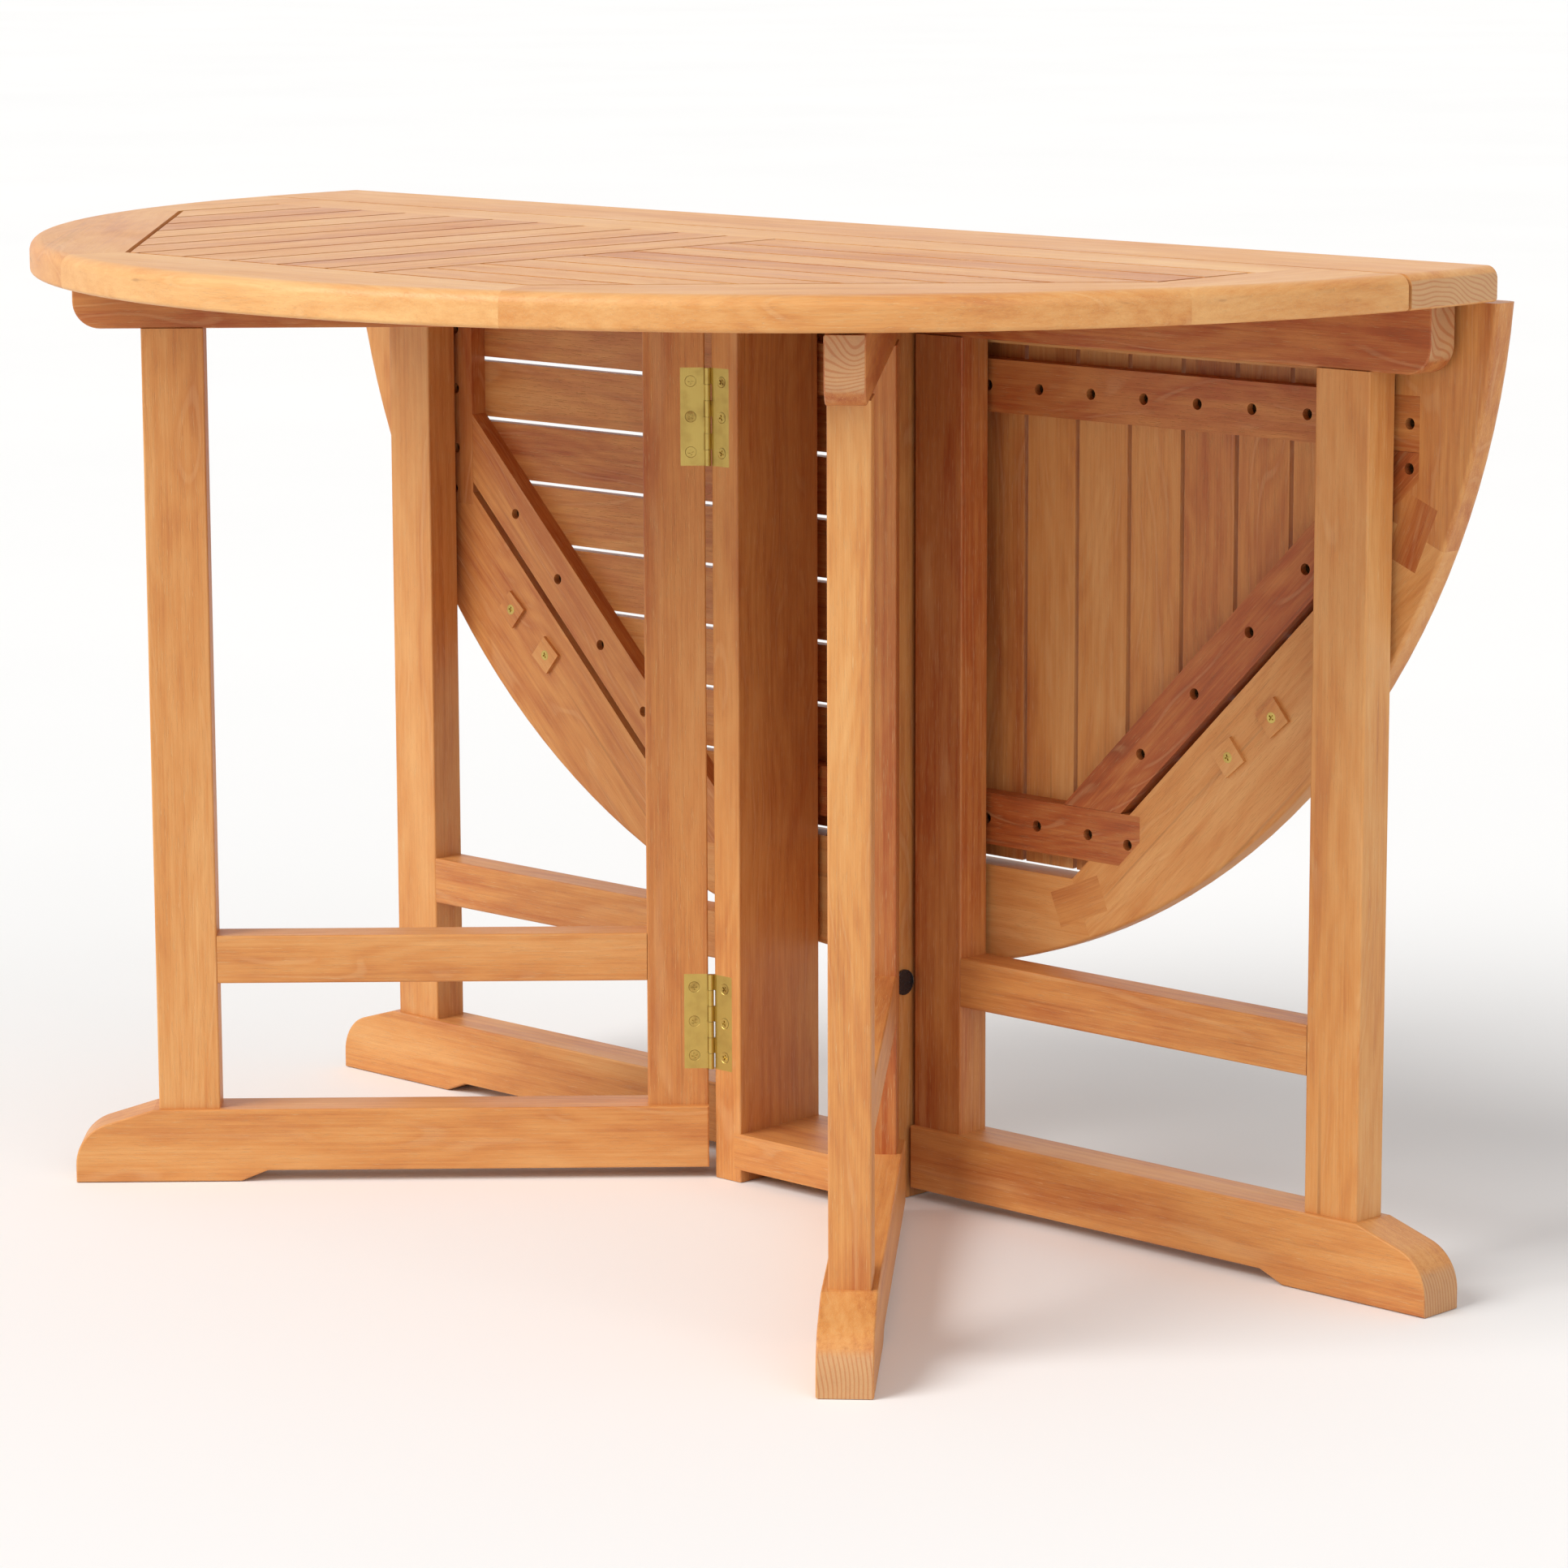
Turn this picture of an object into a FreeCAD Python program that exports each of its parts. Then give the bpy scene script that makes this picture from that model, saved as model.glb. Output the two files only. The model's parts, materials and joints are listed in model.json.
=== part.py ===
"""Round folding gateleg table: a fixed column and centre strip, four hinged gates and two
half-round slatted leaves. All lengths are in millimetres and angles in degrees.

X runs along the centre strip, Y across it and Z up. The floor is Z = 0. The front leaf (-Y)
is raised on its two open gates and the back leaf (+Y) hangs beside its two closed gates.
"""
import FreeCAD, Part
import Sketcher
import math
import os

Vector = FreeCAD.Vector
Rotation = FreeCAD.Rotation
Placement = FreeCAD.Placement

# ---------------------------------------------------------------- driving sizes

DRIVING_SIZES = [
    # the round top
    ("top_radius", 600, "radius of the round top"),
    ("top_height", 750, "floor to the top surface"),
    ("top_thick", 25, "thickness of strip, rims and hinge rails"),
    ("strip_half", 48.5, "half the width of the centre strip"),
    ("leaf_gap", 3, "gap between strip and leaf when the leaf is up"),
    ("edge_round", 9, "rounding of the upper outer edge"),
    ("edge_ease", 3, "rounding of the lower outer edge"),
    ("rim_wide", 90, "outer edge to each inner side of the rim, at its middle"),
    ("hinge_rail_wide", 56.5, "width of the rail beside the strip"),
    ("slat_gap", 4, "gap between slats and round them"),
    ("slat_thick", 10, "thickness of a slat"),
    ("field_split", -53, "where the two slat fields meet"),
    ("long_slats", 11, "how many slats run away from the strip"),
    ("cross_slats", 8, "how many slats run along the strip"),
    # battens under the slats
    ("batten_wide", 40, "width of a batten"),
    ("batten_thick", 15, "depth of a batten"),
    ("batten_near", 50.7, "far side of the near batten to the rim's inner corner"),
    ("batten_far", 16, "far batten to the inner side of the rim"),
    ("batten_side", 19, "side batten to the inner side of the rim"),
    ("batten_inner", 12, "field split to the inner batten"),
    ("diagonal_inset", 26.3, "diagonal batten's middle line to the inner corner side"),
    ("let_in", 22, "length of a batten's end let into the frame"),
    ("batten_joint", 0.2, "gap between two battens that meet"),
    ("end_margin", 12, "batten's end or side to the screw through its let-in end"),
    ("end_shift", 3, "batten's middle line to the screw in a corner piece"),
    # keys and stop blocks
    ("key_long", 50, "length of a key across a rim joint"),
    ("key_wide", 28, "width of a key"),
    ("key_deep", 6, "depth of a key"),
    ("key_clear", 0.6, "gap between a key and the end of a batten"),
    ("block_side", 22, "side of a square stop block"),
    ("block_thick", 3, "thickness of a stop block"),
    ("block_play", 1.5, "play between a top rail and a stop block"),
    ("block_inset", 148, "outer edge to the middle of the blocks, less the hinge's place"),
    # the column
    ("column_half", 77, "half the length of the column along X"),
    ("upright_thick", 28, "thickness of an upright"),
    ("upright_deep", 90, "depth of an upright along Y"),
    ("shelf_low", 10, "floor to the underside of the shelf"),
    ("shelf_thick", 29, "thickness of the shelf"),
    ("dado_deep", 7, "depth of the groove that holds a shelf end"),
    ("head_thick", 28, "thickness of the column head"),
    ("head_inset", 6, "column head behind the faces of the uprights"),
    # the gates
    ("gate_gap", 4, "gap between an upright and a closed gate"),
    ("pin_proud", 2, "hinge pin to the face of the wood"),
    ("leg_thick", 30, "thickness of legs, stiles and middle rails"),
    ("leg_wide", 48, "width of legs and stiles"),
    ("leg_inset", 213, "top radius less the pin's distance to the outer leg"),
    ("rail_thick", 28, "thickness of a top rail"),
    ("rail_drop", 52, "underside of the top to the underside of a top rail"),
    ("rail_inset", 113, "top radius less the pin's distance to the rail's end"),
    ("rail_round", 21, "rounding of a top rail's lower corner"),
    ("rail_play", 0.4, "top rail to the stop blocks"),
    ("mid_low", 158.5, "floor to the underside of a middle rail"),
    ("mid_tall", 38, "height of a middle rail"),
    ("foot_thick", 40, "thickness of a foot rail"),
    ("foot_top", 58, "floor to the top of a foot rail"),
    ("foot_clear", 8.5, "floor to the underside of a foot rail"),
    ("foot_inset", 99, "top radius less the pin's distance to the foot's end"),
    ("pad_long", 130, "length of the pad under the foot's end"),
    ("pad_slope", 21, "length of the slope behind the pad"),
    ("toe_round", 34, "rounding of the foot's end"),
    ("toe_flat", 14, "floor to the middle of the toe's rounding"),
    ("ease", 1.5, "rounding along the edges of the boards"),
    ("left_open", 45, "opening of the front left gate"),
    ("right_open", 49.8, "opening of the front right gate"),
    # gate hinges
    ("butt_tall", 76, "height of a gate hinge"),
    ("butt_wide", 21, "hinge pin to the plate's far edge"),
    ("butt_thick", 1.8, "thickness of a gate hinge plate"),
    ("butt_knuckle", 2.4, "outer radius of a gate hinge knuckle"),
    ("butt_pin", 1.2, "radius of a gate hinge pin"),
    ("butt_drop", 122, "underside of the top to the middle of the upper gate hinge"),
    ("butt_low", 125.5, "floor to the middle of the lower gate hinge"),
    ("butt_screw_row", 13, "hinge pin to the row of screws"),
    ("butt_screw_pitch", 27.5, "distance between screws in a gate hinge"),
    # leaf hinges
    ("flap_long", 60, "length of a leaf hinge"),
    ("flap_wide", 24, "hinge pin to the plate's far edge"),
    ("flap_thick", 2, "thickness of a leaf hinge plate"),
    ("flap_knuckle", 3, "outer radius of a leaf hinge knuckle"),
    ("flap_pin", 1.5, "radius of a leaf hinge pin"),
    ("flap_spread", 385, "middle of the table to an outer leaf hinge"),
    ("flap_screw_row", 14, "hinge pin to the row of screws"),
    ("flap_screw_pitch", 22, "distance between screws in a leaf hinge"),
    ("knuckles", 6, "knuckles on every hinge"),
    ("knuckle_play", 0.3, "gap between neighbouring knuckles"),
    ("knuckle_room", 0.4, "clearance round a knuckle"),
    ("pin_fit", 0.05, "radial clearance of a pin in a moving knuckle"),
    # screws and badge
    ("screw_head", 4.1, "radius of a screw's head"),
    ("screw_cone", 1.8, "depth of a screw's countersunk head"),
    ("screw_shank", 1.7, "radius of a screw's shank"),
    ("screw_long", 16, "length of a screw"),
    ("screw_slot", 1.2, "width of the cross in a screw's head"),
    ("screw_room", 0.35, "gap round a screw's head in a hinge plate"),
    ("screw_sunk", 6, "depth of a batten screw's head below the surface"),
    ("well_room", 0.15, "gap round a screw's head in a batten"),
    ("seat_room", 0.05, "gap round a screw's head in a stop block"),
    ("badge_radius", 10, "radius of the plain badge"),
    ("badge_thick", 2.5, "thickness of the badge"),
    ("badge_high", 172, "floor to the middle of the badge"),
    ("badge_side", 6.5, "middle of the column to the middle of the badge"),
]

doc = FreeCAD.newDocument("GatelegTable")
sheet = doc.addObject("Spreadsheet::Sheet", "Sizes")
for row, (alias, number, words) in enumerate(DRIVING_SIZES, start=1):
    sheet.set(f"A{row}", words)
    sheet.set(f"B{row}", str(number))
    sheet.setAlias(f"B{row}", alias)
doc.recompute()


class Size:
    """A length with the expression that binds it to the sheet."""

    def __init__(self, value, text):
        self.value = float(value)
        self.text = text

    def _with(self, other, sign, value, swap=False):
        text = other.text if isinstance(other, Size) else repr(float(other))
        first, second = (text, self.text) if swap else (self.text, text)
        return Size(value, f"({first} {sign} {second})")

    def __add__(self, other):
        return self._with(other, "+", self.value + float(other))

    def __radd__(self, other):
        return self._with(other, "+", float(other) + self.value, swap=True)

    def __sub__(self, other):
        return self._with(other, "-", self.value - float(other))

    def __rsub__(self, other):
        return self._with(other, "-", float(other) - self.value, swap=True)

    def __mul__(self, other):
        return self._with(other, "*", self.value * float(other))

    def __rmul__(self, other):
        return self._with(other, "*", float(other) * self.value, swap=True)

    def __truediv__(self, other):
        return self._with(other, "/", self.value / float(other))

    def __neg__(self):
        return Size(-self.value, f"(-1 * {self.text})")

    def __float__(self):
        return self.value


def size(alias):
    return Size(float(sheet.get(alias)), f"Sizes.{alias}")


def root_of_difference(big, small):
    """The other short side of a right triangle: sqrt(big^2 - small^2)."""
    value = math.sqrt(float(big) ** 2 - float(small) ** 2)
    small_text = small.text if isinstance(small, Size) else repr(float(small))
    return Size(value, f"sqrt({big.text} ^ 2 - {small_text} ^ 2)")


def as_size(number):
    return number if isinstance(number, Size) else Size(number, None)


# ---------------------------------------------------------------- sizes that follow

top_radius = size("top_radius")
top_thick = size("top_thick")
under_top = size("top_height") - top_thick
strip_half = size("strip_half")
leaf_gap = size("leaf_gap")
hinge_line = strip_half + leaf_gap / 2
leaf_edge = strip_half + leaf_gap
apothem = top_radius - size("rim_wide")
slat_gap = size("slat_gap")
rail_edge = leaf_edge + size("hinge_rail_wide")
batten_thick = size("batten_thick")
batten_wide = size("batten_wide")
let_in = size("let_in")
leg_thick = size("leg_thick")
leg_wide = size("leg_wide")
gate_gap = size("gate_gap")
pin_proud = size("pin_proud")
column_half = size("column_half")
upright_half = size("upright_deep") / 2
foot_top = size("foot_top")
rail_low = under_top - size("rail_drop")
rail_top = under_top - size("block_thick") - size("rail_play")
screw_long = size("screw_long")
screw_shank = size("screw_shank")

TAN_22 = math.tan(math.radians(22.5))
COS_22 = math.cos(math.radians(22.5))
SIN_22 = math.sin(math.radians(22.5))
ROOT_2 = math.sqrt(2)

# The frame's origin is on the floor under the middle of the table as it stands.
front_shift = (float(top_radius) - float(hinge_line) - float(top_thick)) / 2
pin_x = float(column_half + gate_gap / 2)
pin_y = float(upright_half + pin_proud)

# ---------------------------------------------------------------- sketch helpers


def new_body(name):
    body = doc.addObject("PartDesign::Body", name)
    body.Label = name
    if hasattr(body, "AllowCompound"):
        body.AllowCompound = True
    return body


def new_sketch(body, name, level):
    """A sketch parallel to the body's XY plane at the given level."""
    level = as_size(level)
    sketch = body.newObject("Sketcher::SketchObject", name)
    plane = next(f for f in body.Origin.OriginFeatures if f.Role == "XY_Plane")
    sketch.AttachmentSupport = [(plane, "")]
    sketch.MapMode = "FlatFace"
    sketch.AttachmentOffset = Placement(Vector(0, 0, level.value), Rotation())
    if level.text:
        sketch.setExpression("AttachmentOffset.Base.z", level.text)
    return sketch


def hold(sketch, kind, numbers, amount):
    """One dimension, bound to the sheet where it has an expression."""
    amount = as_size(amount)
    if kind in ("DistanceX", "DistanceY") and amount.text is None and amount.value == 0:
        axis = -2 if kind == "DistanceX" else -1
        sketch.addConstraint(Sketcher.Constraint("PointOnObject", numbers[2], numbers[3], axis))
        return
    index = sketch.addConstraint(Sketcher.Constraint(kind, *numbers, amount.value))
    if amount.text:
        sketch.setExpression(f"Constraints[{index}]", amount.text)


def draw_loop(sketch, corners):
    """A closed outline, counter-clockwise. A corner is (x, y) or, where the side that leaves
    it is an arc, (x, y, (centre x, centre y, radius))."""
    first = sketch.GeometryCount
    count = len(corners)
    for index, corner in enumerate(corners):
        start = Vector(float(corner[0]), float(corner[1]), 0)
        after = corners[(index + 1) % count]
        end = Vector(float(after[0]), float(after[1]), 0)
        if len(corner) == 2:
            sketch.addGeometry(Part.LineSegment(start, end), False)
            continue
        middle = Vector(float(corner[2][0]), float(corner[2][1]), 0)
        begin_angle = math.atan2(start.y - middle.y, start.x - middle.x)
        end_angle = math.atan2(end.y - middle.y, end.x - middle.x)
        circle = Part.Circle(middle, Vector(0, 0, 1), float(corner[2][2]))
        sketch.addGeometry(Part.ArcOfCircle(circle, begin_angle, end_angle), False)
    for index in range(count):
        joint = (first + index, 2, first + (index + 1) % count, 1)
        sketch.addConstraint(Sketcher.Constraint("Coincident", *joint))
    for index, corner in enumerate(corners):
        hold(sketch, "DistanceX", (-1, 1, first + index, 1), corner[0])
        hold(sketch, "DistanceY", (-1, 1, first + index, 1), corner[1])
        if len(corner) > 2:
            hold(sketch, "Radius", (first + index,), corner[2][2])


def draw_circle(sketch, x, y, radius):
    index = sketch.GeometryCount
    middle = Vector(float(x), float(y), 0)
    sketch.addGeometry(Part.Circle(middle, Vector(0, 0, 1), float(radius)), False)
    hold(sketch, "DistanceX", (-1, 1, index, 3), x)
    hold(sketch, "DistanceY", (-1, 1, index, 3), y)
    hold(sketch, "Radius", (index,), radius)


def mirrored(corners, hand):
    """The same outline for a left-handed piece."""
    if hand > 0:
        return corners
    flipped = [(-as_size(corner[0]) if isinstance(corner[0], Size) else -corner[0], corner[1])
               for corner in corners]
    count = len(corners)
    result = []
    for index in reversed(range(count)):
        before = corners[(index - 1) % count]
        if len(before) > 2:
            middle_x, middle_y, radius = before[2]
            result.append(flipped[index] + ((-middle_x, middle_y, radius),))
        else:
            result.append(flipped[index])
    return result


def pad(body, name, loops, level, thick):
    sketch = new_sketch(body, f"{name}_outline", level)
    for loop in loops:
        draw_loop(sketch, loop)
    feature = body.newObject("PartDesign::Pad", name)
    feature.Profile = sketch
    thick = as_size(thick)
    feature.Length = thick.value
    if thick.text:
        feature.setExpression("Length", thick.text)
    sketch.Visibility = False
    doc.recompute()
    return feature


def pocket(body, name, level, deep, loops=(), circles=()):
    """Removes the outlines from level - deep up to level."""
    sketch = new_sketch(body, f"{name}_outline", level)
    for loop in loops:
        draw_loop(sketch, loop)
    for x, y, radius in circles:
        draw_circle(sketch, x, y, radius)
    before = body.Shape.Volume
    feature = body.newObject("PartDesign::Pocket", name)
    feature.Profile = sketch
    deep = as_size(deep)
    feature.Length = deep.value
    if deep.text:
        feature.setExpression("Length", deep.text)
    sketch.Visibility = False
    doc.recompute()
    if not body.Shape.Volume < before:
        raise RuntimeError(f"{name} removes nothing from {body.Label}")
    return feature


def round_edges(body, name, radius, wanted):
    """Rounds the edges of the body's last feature that the test picks."""
    base = body.Tip
    picked = [f"Edge{i}" for i, edge in enumerate(base.Shape.Edges, start=1) if wanted(edge)]
    feature = body.newObject("PartDesign::Fillet", name)
    feature.Base = (base, picked)
    radius = as_size(radius)
    feature.Radius = radius.value
    if radius.text:
        feature.setExpression("Radius", radius.text)
    doc.recompute()
    return feature


def box_cut(body, name, corner, extent):
    """Removes a box given by its lowest corner and its size in the body's own frame."""
    feature = body.newObject("PartDesign::SubtractiveBox", name)
    for side, amount in zip(("Length", "Width", "Height"), extent):
        amount = as_size(amount)
        setattr(feature, side, amount.value)
        if amount.text:
            feature.setExpression(side, amount.text)
    feature.Placement = Placement(Vector(*[float(c) for c in corner]), Rotation())
    return feature


def drill(body, name, start, direction, deep, radius):
    """A round hole from start along direction in the body's own frame."""
    feature = body.newObject("PartDesign::SubtractiveCylinder", name)
    radius = as_size(radius)
    feature.Radius = radius.value
    if radius.text:
        feature.setExpression("Radius", radius.text)
    deep = as_size(deep)
    feature.Height = deep.value
    if deep.text:
        feature.setExpression("Height", deep.text)
    turn = Rotation(Vector(0, 0, 1), Vector(*direction))
    feature.Placement = Placement(Vector(*[float(c) for c in start]), turn)
    return feature


def along(edge, direction):
    """True for a straight edge in the given direction."""
    if not isinstance(edge.Curve, Part.Line):
        return False
    step = edge.Vertexes[-1].Point.sub(edge.Vertexes[0].Point)
    return step.Length > 1e-6 and abs(step.normalize().dot(Vector(*direction))) > 0.999


def rectangle(x_low, x_high, y_low, y_high):
    return [(x_low, y_low), (x_high, y_low), (x_high, y_high), (x_low, y_high)]


def group(name, shapes):
    """Several loose pieces that share a name."""
    feature = doc.addObject("Part::Feature", name)
    feature.Label = name
    feature.Shape = Part.Compound(shapes)
    return feature


exported = []

# ---------------------------------------------------------------- screws

screw_head = size("screw_head")
screw_cone = size("screw_cone")

# the point's length against the shank, and the cross slot against the head
POINT_SHARE = 1.4
SLOT_REACH = 0.58
SLOT_DEPTH = 0.6


def make_screw():
    """A countersunk wood screw: head face at Z = 0, point downwards."""
    head = float(screw_head)
    shank = float(screw_shank)
    cone = float(screw_cone)
    long = float(screw_long)
    tip = shank * POINT_SHARE
    profile = [
        Vector(0, 0, 0), Vector(head, 0, 0), Vector(shank, 0, -cone),
        Vector(shank, 0, tip - long), Vector(0, 0, -long), Vector(0, 0, 0),
    ]
    solid = Part.Face(Part.makePolygon(profile)).revolve(Vector(0, 0, 0), Vector(0, 0, 1), 360)
    slot = float(sheet.get("screw_slot"))
    reach = head * SLOT_REACH
    deep = cone * SLOT_DEPTH
    for turn in (0, 90):
        blade = Part.makeBox(2 * reach, slot, 2 * deep, Vector(-reach, -slot / 2, -deep))
        blade.rotate(Vector(0, 0, 0), Vector(0, 0, 1), turn)
        solid = solid.cut(blade)
    return solid


screw_master = doc.addObject("Part::Feature", "screw_pattern")
screw_master.Shape = make_screw()


def screw_at(point, outward, turn=0):
    """A screw whose head face is at the point and looks outward."""
    shape = screw_master.Shape.copy()
    shape.rotate(Vector(0, 0, 0), Vector(0, 0, 1), turn)
    spin = Rotation(Vector(0, 0, 1), Vector(*outward))
    shape.Placement = Placement(Vector(*point), spin).multiply(shape.Placement)
    return shape


# ---------------------------------------------------------------- hinges

knuckle_count = int(float(sheet.get("knuckles")))
knuckle_play = float(sheet.get("knuckle_play"))
screw_room = float(sheet.get("screw_room"))


def hinge_plate(tall, wide, thick, offset, outer, bore, odd, row, pitch, screws):
    """One plate of a hinge with its knuckles. The pin lies on Z, the plate points along +X
    and its show face is at Y = offset. Odd and even knuckles belong to the two plates."""
    half = tall / 2
    clear = outer + knuckle_play
    plate = Part.makeBox(wide - clear, thick, tall, Vector(clear, offset, -half))
    step = tall / knuckle_count
    for index in range(knuckle_count):
        if index % 2 != odd:
            continue
        low = -half + index * step + knuckle_play / 2
        high = low + step - knuckle_play
        ring = Part.makeCylinder(outer, high - low, Vector(0, 0, low))
        web_low = max(0.0, offset - thick / 3)
        web = Part.makeBox(clear + 1, offset + thick - web_low, high - low, Vector(0, web_low, low))
        plate = plate.fuse(ring).fuse(web)
    plate = plate.cut(Part.makeCylinder(bore, tall + 2, Vector(0, 0, -half - 1)))
    for number in range(screws):
        level = (number - (screws - 1) / 2) * pitch
        cone = Part.makeCone(float(screw_head) + screw_room, float(screw_shank), thick,
                             Vector(row, offset, level), Vector(0, 1, 0))
        plate = plate.cut(cone)
    return plate.removeSplitter()


def hinge_pin(radius, tall):
    pin = Part.makeCylinder(radius, tall, Vector(0, 0, -tall / 2))
    return pin.makeChamfer(radius * 0.3, pin.Edges[:1] + pin.Edges[2:3])


butt = {key: float(sheet.get(f"butt_{key}")) for key in
        ("tall", "wide", "thick", "knuckle", "pin", "low", "screw_row", "screw_pitch")}
flap = {key: float(sheet.get(f"flap_{key}")) for key in
        ("long", "wide", "thick", "knuckle", "pin", "spread", "screw_row", "screw_pitch")}
pin_fit = float(sheet.get("pin_fit"))
BUTT_SCREWS = 3
FLAP_SCREWS = 3


def butt_plate(odd, moving):
    bore = butt["pin"] + (pin_fit if moving else 0)
    return hinge_plate(butt["tall"], butt["wide"], butt["thick"], float(pin_proud),
                       butt["knuckle"], bore, odd, butt["screw_row"], butt["screw_pitch"],
                       BUTT_SCREWS)


def flap_plate(odd, moving):
    bore = flap["pin"] + (pin_fit if moving else 0)
    return hinge_plate(flap["long"], flap["wide"], flap["thick"], 0.0,
                       flap["knuckle"], bore, odd, flap["screw_row"], flap["screw_pitch"],
                       FLAP_SCREWS)


def flipped_x(shape):
    return shape.mirror(Vector(0, 0, 0), Vector(1, 0, 0))


gate_plate = butt_plate(0, True)
post_plate = butt_plate(1, False)
# The strip's plate faces the other way along the pin, so its knuckles still alternate.
leaf_plate = flap_plate(0, True)
strip_plate = flap_plate(0, False)

# ---------------------------------------------------------------- column

butt_levels = (float(under_top - size("butt_drop")), butt["low"])
butt_wide = size("butt_wide")
butt_thick = size("butt_thick")
butt_tall = size("butt_tall")
upright_thick = size("upright_thick")
hole_deep = float(screw_long) - float(screw_cone)


def build_upright(name, side):
    """side is -1 for the left upright and +1 for the right one. The body's own frame has
    the outer face at X = 0 and the wood towards -X for the right upright."""
    body = new_body(name)
    if side > 0:
        loop = rectangle(-upright_thick, 0, -upright_half, upright_half)
    else:
        loop = rectangle(0, upright_thick, -upright_half, upright_half)
    pad(body, f"{name}_board", [loop], 0, under_top)
    round_edges(body, f"{name}_eased", size("ease"), lambda edge: along(edge, (0, 0, 1)))
    deep = float(upright_thick)
    inner = -deep if side > 0 else deep
    dado = size("dado_deep")
    dado_x = inner if side > 0 else inner - float(dado)
    box_cut(body, f"{name}_dado", (dado_x, -float(upright_half) - 1, float(size("shelf_low"))),
            (dado, size("upright_deep") + 2, size("shelf_thick")))
    mortise_wide = butt_wide - gate_gap / 2
    mortise_x = -float(mortise_wide) if side > 0 else 0.0
    for label, level in zip(("high", "low"), butt_levels):
        for face, word in ((-1, "front"), (1, "back")):
            half = float(upright_half)
            start_y = -half if face < 0 else half - float(butt_thick)
            corner = (mortise_x, start_y, level - float(butt_tall) / 2)
            box_cut(body, f"{name}_{label}_{word}", corner,
                    (mortise_wide, butt_thick, butt_tall))
            row_x = -side * (butt["screw_row"] - float(gate_gap) / 2)
            for number in range(BUTT_SCREWS):
                height = level + (number - 1) * butt["screw_pitch"]
                floor_y = face * (half - float(butt_thick))
                drill(body, f"{name}_{label}_{word}_hole_{number}", (row_x, floor_y, height),
                      (0, -face, 0), hole_deep, screw_shank)
    body.Placement = Placement(Vector(side * float(column_half), front_shift, 0), Rotation())
    doc.recompute()
    exported.append(body)
    return body


build_upright("left_upright", -1)
build_upright("right_upright", 1)

shelf_half = column_half - upright_thick + size("dado_deep")
shelf = new_body("bottom_shelf")
pad(shelf, "shelf_board", [rectangle(-shelf_half, shelf_half, -upright_half, upright_half)],
    0, size("shelf_thick"))
shelf.Placement = Placement(Vector(0, front_shift, float(size("shelf_low"))), Rotation())
exported.append(shelf)

head_half = column_half - upright_thick
head_thick = size("head_thick")
head = new_body("column_head")
head_depth = upright_half - size("head_inset")
pad(head, "head_board", [rectangle(-head_half, head_half, -head_depth, head_depth)],
    0, head_thick)
head.Placement = Placement(Vector(0, front_shift, float(under_top - head_thick)), Rotation())
exported.append(head)

badge = new_body("plain_badge")
badge_sketch = new_sketch(badge, "badge_outline", 0)
draw_circle(badge_sketch, 0, 0, size("badge_radius"))
badge_pad = badge.newObject("PartDesign::Pad", "badge_disc")
badge_pad.Profile = badge_sketch
badge_pad.Length = float(size("badge_thick"))
badge_pad.setExpression("Length", "Sizes.badge_thick")
doc.recompute()
round_edges(badge, "badge_eased", size("badge_thick") * 0.4,
            lambda edge: edge.BoundBox.ZMin > float(size("badge_thick")) - 0.01)
badge.Placement = Placement(
    Vector(float(column_half), front_shift + float(size("badge_side")),
           float(size("badge_high"))), Rotation(Vector(0, 0, 1), Vector(1, 0, 0)))
exported.append(badge)

# ---------------------------------------------------------------- centre strip

strip_end = root_of_difference(top_radius, strip_half)
strip = new_body("center_strip")
strip_loop = [
    (strip_end, -strip_half, (0, 0, top_radius)), (strip_end, strip_half),
    (-strip_end, strip_half, (0, 0, top_radius)), (-strip_end, -strip_half),
]
pad(strip, "strip_board", [strip_loop], 0, top_thick)


def outer_arc(level):
    def wanted(edge):
        flat = edge.BoundBox.ZMax - edge.BoundBox.ZMin < 0.01
        curved = isinstance(edge.Curve, Part.Circle)
        return flat and curved and abs(edge.BoundBox.ZMin - level) < 0.01
    return wanted


round_edges(strip, "strip_top_round", size("edge_round"), outer_arc(float(top_thick)))
round_edges(strip, "strip_low_round", size("edge_ease"), outer_arc(0.0))

flap_room = size("flap_knuckle") + size("knuckle_room")
flap_places = [side * flap["spread"] for side in (-1, 0, 1)]
flap_half = size("flap_long") / 2
flap_reach = size("flap_wide")


def flap_recess(body, name, sign, edge):
    """Housings for the leaf hinges in the underside. sign is the side of the hinge line
    that the wood is on and edge the wood's edge, as a distance from the middle."""
    plates = []
    notches = []
    screws = []
    for place in flap_places:
        x_low = place - flap_half
        x_high = place + flap_half
        if sign > 0:
            plates.append(rectangle(x_low, x_high, edge, hinge_line + flap_reach))
            notches.append(rectangle(x_low, x_high, edge, hinge_line + flap_room))
        else:
            for turn in (1, -1):
                low, high = hinge_line - flap_reach, edge
                near, far = hinge_line - flap_room, edge
                if turn > 0:
                    plates.append(rectangle(x_low, x_high, low, high))
                    notches.append(rectangle(x_low, x_high, near, far))
                else:
                    plates.append(rectangle(x_low, x_high, -high, -low))
                    notches.append(rectangle(x_low, x_high, -far, -near))
        for number in range(FLAP_SCREWS):
            x = place + (number - 1) * flap["screw_pitch"]
            row = float(hinge_line) + sign * flap["screw_row"]
            screws.append((x, row, screw_shank))
            if sign < 0:
                screws.append((x, -row, screw_shank))
    thick = size("flap_thick")
    pocket(body, f"{name}_housing", thick, thick, loops=plates)
    pocket(body, f"{name}_notch", flap_room, flap_room, loops=notches)
    pocket(body, f"{name}_holes", thick + hole_deep, hole_deep, circles=screws)


flap_recess(strip, "strip", -1, strip_half)
strip.Placement = Placement(Vector(0, front_shift, float(under_top)), Rotation())
exported.append(strip)

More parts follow.
